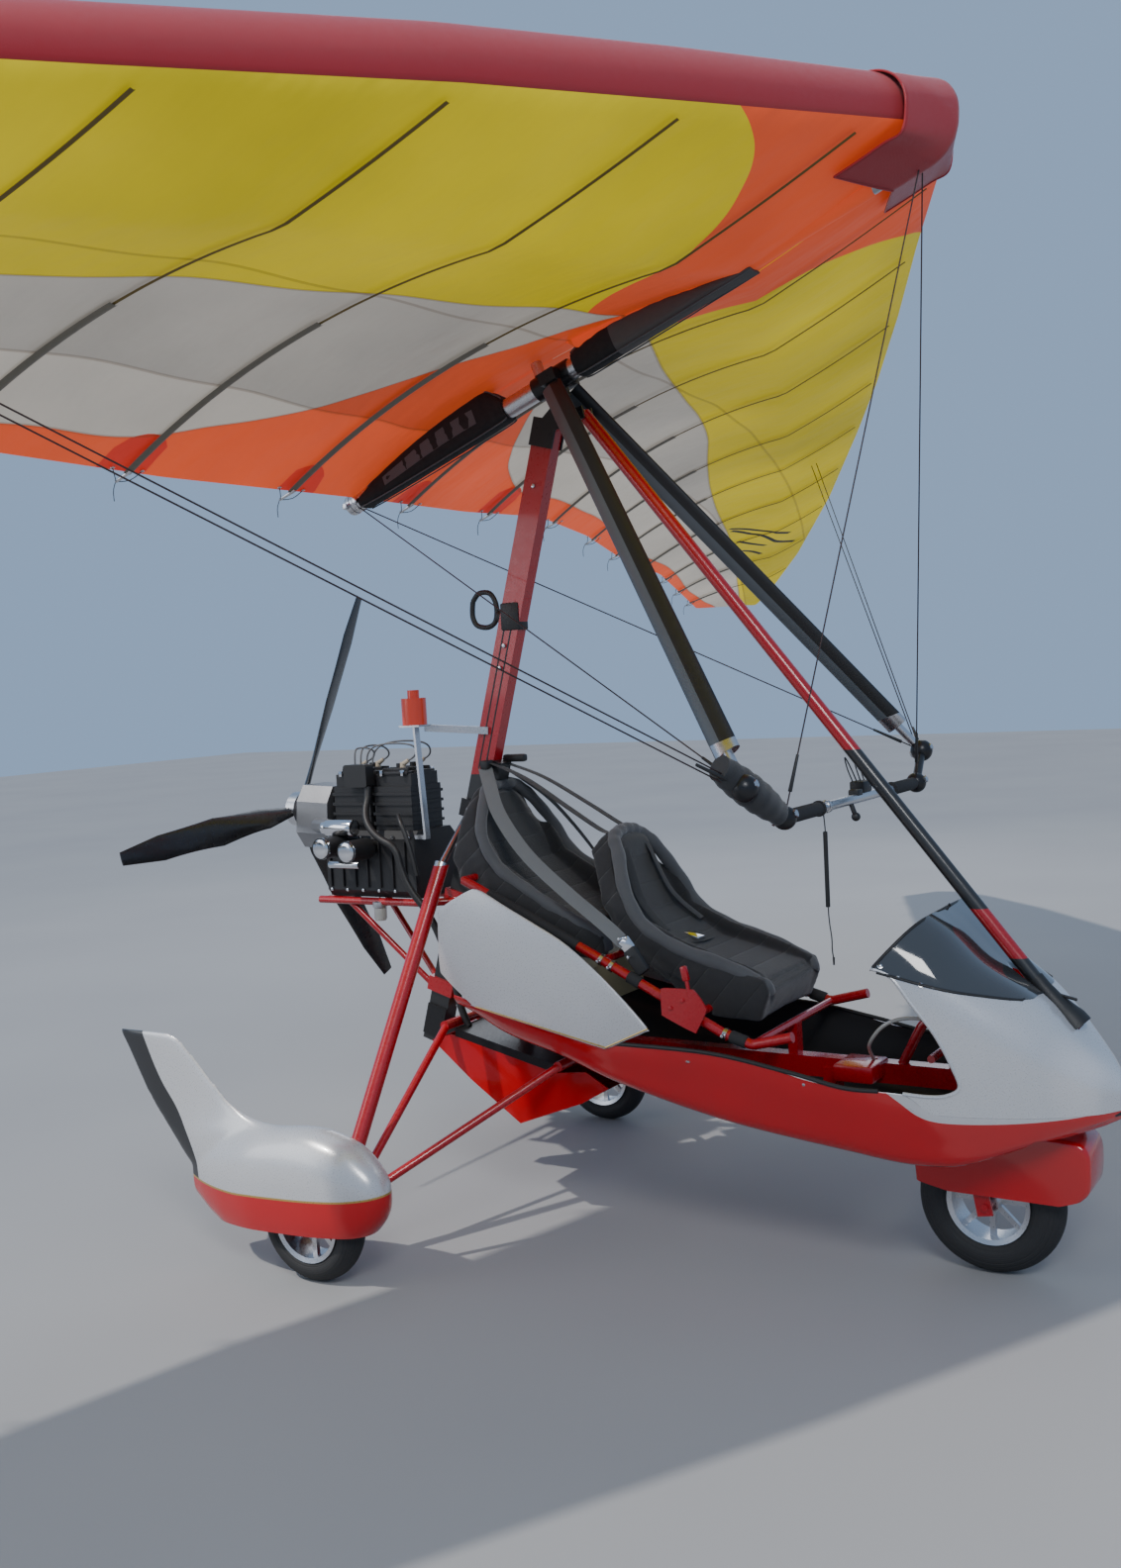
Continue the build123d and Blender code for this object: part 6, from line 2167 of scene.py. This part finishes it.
@dataclass
class EngineBay:
    """Leads, hoses and small parts on the engine."""

    cylinders: tuple[float, float] = (-0.405, -0.225)
    plugs: Table = ((-0.405, -0.045), (-0.405, 0.045), (-0.225, -0.045), (-0.225, 0.045))
    bowl: Point = (-0.297, -0.10, 0.0)
    upper: Table = ((-0.320, -0.100, 1.398), (-0.318, -0.104, 1.362), (-0.308, -0.140, 1.310),
                    (-0.275, -0.165, 1.265), (-0.225, -0.172, 1.225), (-0.160, -0.170, 1.200),
                    (-0.142, -0.168, 1.12), (-0.110, -0.165, 1.05), (-0.055, -0.150, 0.98),
                    (-0.01, -0.14, 0.88), (0.03, -0.14, 0.76), (0.055, -0.14, 0.64), (0.08, -0.14, 0.600))
    lower: Table = ((-0.18, -0.119, 1.30), (-0.155, -0.145, 1.285), (-0.13, -0.150, 1.24),
                    (-0.105, -0.148, 1.16), (-0.095, -0.145, 1.10))

    def leads(self) -> None:
        """Plug caps, and a lead from each to the coil box."""
        caps = Form()
        for x, y in self.plugs:
            base = at(x + 0.02, y, 1.435)
            caps.rod(base, base + Vector((0.0, 0.0, 0.042)), 0.011, 0.009, 14, 0.002)
            caps.rod(base + Vector((0, 0, 0.034)), base + Vector((0.026, 0.0, 0.048)),
                     0.009, 0.007, 14, 0.002)
        caps.done("plug_caps", "trike", "black_plastic", "tan_cap")
        for k, (x, y) in enumerate(self.plugs):
            start = at(x + 0.046, y, 1.483)
            end = at(-0.36 + 0.018 * k, -0.112 + 0.01 * k, 1.476)
            top = 1.528 + 0.006 * k
            points = [start, start + Vector((0.035, 0.0, 0.012)),
                      Vector((start.x + 0.045, lerp(start.y, end.y, 0.3), top)),
                      Vector((lerp(start.x, end.x, 0.6), lerp(start.y, end.y, 0.7), top + 0.006)),
                      end + Vector((0.0, 0.0, 0.045)), end]
            lead = settle(strand(f"plug_lead_{k + 1}", points, 0.0032), "trike", "black_plastic", "lead_grey")
            self.length(lead)

    def length(self, lead: Piece) -> float:
        """Length of a curve's line.

        Args:
            lead: The curve.

        Returns:
            The length, to the millimetre.
        """
        bare = lead.data.copy()
        bare.bevel_depth = 0.0
        probe = bpy.data.objects.new("probe", bare)
        bpy.context.scene.collection.objects.link(probe)
        deps = bpy.context.evaluated_depsgraph_get()
        mesh = bpy.data.meshes.new_from_object(probe.evaluated_get(deps), depsgraph=deps)
        places = [vert.co for vert in mesh.vertices]
        total = sum((places[edge.vertices[0]] - places[edge.vertices[1]]).length for edge in mesh.edges)
        bpy.data.objects.remove(probe)
        bpy.data.meshes.remove(mesh)
        bpy.data.curves.remove(bare)
        return round(total, 3)

    def hoses(self) -> None:
        """Black water hoses down the near side."""
        for name, points, radius in (("water_hose_upper", self.upper, 0.0125),
                                     ("water_hose_lower", self.lower, 0.008)):
            path = [at(*row) for row in points]
            hose = settle(strand(name, path, radius, 4), "trike", "black_plastic")
            self.length(hose)

    def metal(self) -> None:
        """Starter, canisters, pipes and bolts."""
        form = Form()
        form.rod(at(-0.455, -0.165, 1.262), at(-0.335, -0.165, 1.262), 0.030, steps=24, soft=0.004)
        form.rod(at(-0.475, -0.165, 1.262), at(-0.455, -0.165, 1.262), 0.022, steps=24, soft=0.003)
        form.rod(at(-0.450, -0.172, 1.135), at(-0.318, -0.172, 1.135), 0.013, steps=18, soft=0.003)
        for x, z in ((-0.410, 1.200), (-0.300, 1.190)):
            form.lathe(((0.0, -0.2655), (0.020, -0.2650), (0.030, -0.2635), (0.0345, -0.2615),
                        (0.0375, -0.258), (0.0375, -0.252)), at(x, 0.0, z), SPAN, 36)
        for x in (cylinder + dx for cylinder in self.cylinders for dx in (-0.045, 0.045)):
            for y in (-0.085, 0.085):
                form.rod(at(x, y, 1.432), at(x, y, 1.452), 0.0075, steps=6, soft=0.001)
        for x in (-0.49 + 0.07 * k for k in range(6)):
            for z in (1.040, 1.225):
                form.rod(at(x, -0.124, z), at(x, -0.114, z), 0.006, steps=6, soft=0.001)
        form.done("engine_brightwork", "trike", "bare_alloy", "filter_chrome")
        heads = Form()
        for x in self.cylinders:
            heads.block(at(x, 0.0, 1.441), (0.125, 0.16, 0.012), 0.003)
            for y in (-0.06, -0.02, 0.02, 0.06):
                heads.block(at(x, y, 1.452), (0.11, 0.008, 0.014), 0.002)
        for k in range(7):
            for y in (-0.121, 0.121):
                heads.block(at(-0.49 + 0.055 * k, y, 1.13), (0.006, 0.01, 0.16), 0.002)
        heads.done("engine_ribs", "trike", "engine_metal")
        bowl = Form()
        bowl.lathe(((0.0, 0.932), (0.018, 0.934), (0.022, 0.942), (0.022, 0.978), (0.0, 0.980)),
                   at(*self.bowl), UP, 24)
        bowl.done("fuel_bowl", "trike", "tank", "clear_hose")
        cap = Form()
        cap.lathe(((0.0, 0.979), (0.024, 0.979), (0.026, 0.984), (0.026, 1.000), (0.012, 1.004),
                   (0.0, 1.016)), at(*self.bowl), UP, 24)
        cap.done("fuel_bowl_cap", "trike", "bare_alloy")

    def build(self) -> None:
        """Makes everything on the engine."""
        self.metal()
        self.leads()
        self.hoses()


@dataclass
class ControlBar:
    """Grips, boot, switch box and cords on the control frame."""

    corner: Point = (0.443, 0.693, -1.483)
    bend: Point = (0.443, 0.528, -1.581)

    def on_bar(self, y: float) -> Vector:
        """Point on the bar's middle line."""
        return wing(self.bend[0], y, self.bend[2])

    def build(self) -> None:
        """Makes what the hands meet."""
        grips = Form()
        for side in (-1, 1):
            a, b = self.on_bar(side * 0.495), self.on_bar(side * 0.300)
            grips.rod(a, b, 0.0195, steps=24, soft=0.004)
            grips.rod(b, self.on_bar(side * 0.288), 0.0225, steps=24, soft=0.003)
        grips.done("bar_grips", "wing", "black_plastic", "foam_sleeve")
        collars = Form()
        for side in (-1, 1):
            for place in (self.corner, self.bend):
                centre = wing(place[0], side * place[1], place[2])
                for way in (-ALONG, ALONG):
                    collars.rod(centre + way * 0.026, centre + way * 0.039, 0.011, steps=6, soft=0.002)
            collars.rod(self.on_bar(side * 0.23), self.on_bar(side * 0.245), 0.0185, steps=20, soft=0.002)
        collars.done("bar_bolts", "wing", "bare_alloy", "bolt_steel")
        boot = Form()
        rows = ((-0.02, 0.030, 0.040), (0.06, 0.040, 0.046), (0.14, 0.037, 0.046), (0.21, 0.024, 0.036))
        a = wing(0.418, -0.715, -1.428)
        b = wing(0.452, -0.562, -1.572)
        run = (b - a).normalized()
        side = run.cross(ALONG).normalized()
        rings = []
        for s, half, tall in spline(rows, 20):
            pucker = 1.0 + 0.04 * math.sin(s * 160)
            rings.append((a + run * s, ALONG * half * pucker, side * tall * pucker))
        boot.loft(rings, 2.2, 24)
        piece = boot.done("bar_boot", "wing", "dark_fabric", angle=60)
        box = Form()
        box.block(self.on_bar(0.075) + UPRIGHT * 0.032 - ALONG * 0.005, (0.045, 0.07, 0.034), 0.005)
        box.block(self.on_bar(0.0) + UPRIGHT * 0.012, (0.03, 0.045, 0.03), 0.004)
        knob = self.on_bar(-0.06)
        box.rod(knob - UPRIGHT * 0.010, knob - UPRIGHT * 0.045, 0.007, steps=12, soft=0.002)
        box.ball(knob - UPRIGHT * 0.05, 0.013)
        box.done("bar_switch_box", "wing", "black_plastic")
        loops = Form()
        for k in (-1, 1):
            foot = self.on_bar(0.06 + 0.014 * k) + UPRIGHT * 0.04
            arch = [foot, foot + UPRIGHT * 0.05 + SPAN * 0.006 * k, foot + UPRIGHT * 0.085 + SPAN * 0.02 * k,
                    foot + UPRIGHT * 0.05 + SPAN * 0.034 * k, foot + SPAN * 0.03 * k]
            loops.tube([Vector(row) for row in spline(arch, 20)], 0.002, 6)
        loops.done("bar_wire_loops", "wing", "black_plastic")
        self.cords()

    def cords(self) -> None:
        """The lead that hangs from the bar, in its sleeve."""
        start = self.on_bar(-0.262) - Vector((0, 0, 0.0145))
        drops = ((0.0, 0.0), (0.002, 0.02), (0.004, 0.06), (0.003, 0.14), (0.002, 0.24), (0.003, 0.30),
                 (0.010, 0.35), (0.008, 0.385), (0.012, 0.405))
        path = [start + Vector((dx, 0.0, -dz)) for dx, dz in drops]
        lead = settle(strand("bar_lead", path, 0.0017), "wing", "black_plastic")
        sleeve = Form()
        sleeve.rod(start + Vector((0.003, 0.0, -0.052)), start + Vector((0.002, 0.0, -0.262)),
                   0.0062, steps=14, soft=0.0015)
        sleeve = sleeve.done("bar_lead_sleeve", "wing", "black_plastic", "foam_sleeve")
        plug = Form()
        plug.rod(path[-1] + UP * 0.004, path[-1] - UP * 0.018, 0.0032, 0.0024, 10, 0.0008)
        plug = plug.done("bar_lead_plug", "wing", "black_plastic")
        tuple(path[0])


@dataclass
class Rigging:
    """Sleeves near the lower ends of the wires."""

    corner: Point = ControlBar.corner
    bend: Point = ControlBar.bend

    def build(self) -> None:
        """Makes the sleeves at the control frame's corners and bends."""
        form = Form()
        runs = [(self.corner, (-0.30, 3.0 + dy, 0.15), 0.06) for dy in (-0.02, 0.02)]
        runs += [(self.bend, (1.292, 0.0, 0.0), 0.07), (self.corner, (-0.892, 0.0, 0.0), 0.07)]
        for a, b, start in runs:
            for side in (-1, 1):
                low, high = wing(a[0], side * a[1], a[2]), wing(b[0], side * b[1], b[2])
                run = (high - low).normalized()
                form.rod(low + run * start, low + run * (start + 0.10), 0.0055, 0.004, 10, 0.001)
        form.done("wire_sleeves", "wing", "steel_wire", "black_plastic")


@dataclass
class MastFittings:
    """Grooves, bolts and handle of the mast."""

    foot: tuple[float, float] = (-0.165, 0.505)
    top: tuple[float, float] = (0.437, 2.560)

    def build(self) -> None:
        """Makes the dark grooves, the handle and the bolts."""
        grooves = Form()
        a, b = at(self.foot[0], 0, self.foot[1]), at(self.top[0], 0, self.top[1])
        run = (b - a).normalized()
        ahead = Vector((run.z, 0.0, -run.x))
        for side in (-1, 1):
            for shift in (-0.013, 0.013):
                foot = a + ahead * shift + SPAN * side * 0.0247
                grooves.tube([foot + run * 0.98, foot + run * 1.47], 0.0035, 8, flat=(0.3, 1.0), up=ahead)
        grooves.done("mast_grooves", "trike", "black_paint")
        bolts = Form()
        for share in (0.30, 0.34, 0.62, 0.655, 0.90, 0.965):
            centre = a + (b - a) * share
            bolts.rod(centre - SPAN * 0.032, centre + SPAN * 0.032, 0.0075, steps=6, soft=0.001)
        bolts.done("mast_bolts", "trike", "bare_alloy", "bolt_steel")
        self.handle()

    def handle(self) -> None:
        """Pull handle of the starter: a rounded loop on a short grip beside the mast."""
        form = Form()
        middle = (0.140, 1.974)
        loop = [(-0.044, 0.030), (-0.018, 0.056), (0.024, 0.054), (0.046, 0.024), (0.050, -0.012),
                (0.040, -0.044), (0.010, -0.058), (-0.030, -0.050), (-0.046, -0.026), (-0.048, 0.0)]
        ring = spline([(middle[0] + x, middle[1] + z) for x, z in (*loop, loop[0])], 40)
        form.tube([at(x, 0.0, z) for x, z in ring], 0.0088, 10)
        form.rod(at(0.186, 0.0, 1.952), at(0.245, 0.0, 1.946), 0.013, steps=14, soft=0.003)
        form.ball(at(0.205, 0.0, 1.948), 0.021)
        form.block(at(0.257, 0.0, 1.945), (0.070, 0.062, 0.090), 0.006)
        piece = form.done("pull_handle", "trike", "black_plastic")
        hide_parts("starter_handle")


@dataclass
class Wheels:
    """Tread and hub nut of each wheel."""

    nodes: dict[str, Piece]
    front: Point = FRONT_WHEEL
    rear: Point = REAR_WHEEL

    def dress_wheel(self, name: str, body: str, tyre: str, centre: Vector) -> None:
        """Gives one wheel its tread and its nut.

        Args:
            name: The wheel's place in words.
            body: The body that it is.
            tyre: The node of its tyre.
            centre: Its middle.
        """
        node = self.nodes[tyre]
        half = max(abs(corner[1] - centre.y) for corner in node.bound_box)
        tread = Tread(f"tread_{name}", (0.020, 0.020, 0.021), rough=0.72, tint=0.4, grain=140.0,
                      relief=0.0003, centre=tuple(centre))
        FINISHES[tread.name] = tread
        dress(node, tread.name)
        form = Form()
        profile = ((0.0, half * 0.86), (0.010, half * 0.86), (0.012, half * 0.84), (0.012, half * 0.66))
        for side in (-1, 1):
            form.lathe(profile, centre, Vector((0, side, 0)), 6)
        form.done(f"hub_nut_{name}", body, "bare_alloy", "bolt_steel")

    def build(self) -> None:
        """Makes the front wheel's and the rear wheels' parts."""
        self.dress_wheel("front", "front_wheel", "front_tyre", at(*self.front))
        for side in Side:
            x, y, z = self.rear
            self.dress_wheel(f"rear_{side.word}", f"rear_wheel_{side.word}", f"rear_tyre_{side.word}",
                             at(x, y * side.value, z))


def main(frame: dict) -> None:
    """Builds the stage and the aircraft, piece by piece.

    Args:
        frame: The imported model, as it was loaded.
    """
    logging.basicConfig(level=logging.INFO, format="%(name)s: %(message)s")
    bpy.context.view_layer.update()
    Studio().build()
    nodes = frame["nodes"]
    Airframe(nodes).build()
    sail = Sail()
    sail.build()
    Battens(sail).build()
    KeelCovers().build()
    NoseCone().build()
    for seat in seats():
        seat.build(nodes[seat.node])
    Belts().build()
    Pod(nodes).build()
    SeatFrame().build()
    EngineBay().build()
    ControlBar().build()
    Rigging().build()
    MastFittings().build()
    Wheels(nodes).build()
    Shells().build()


if __name__ == "__main__":
    main(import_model())
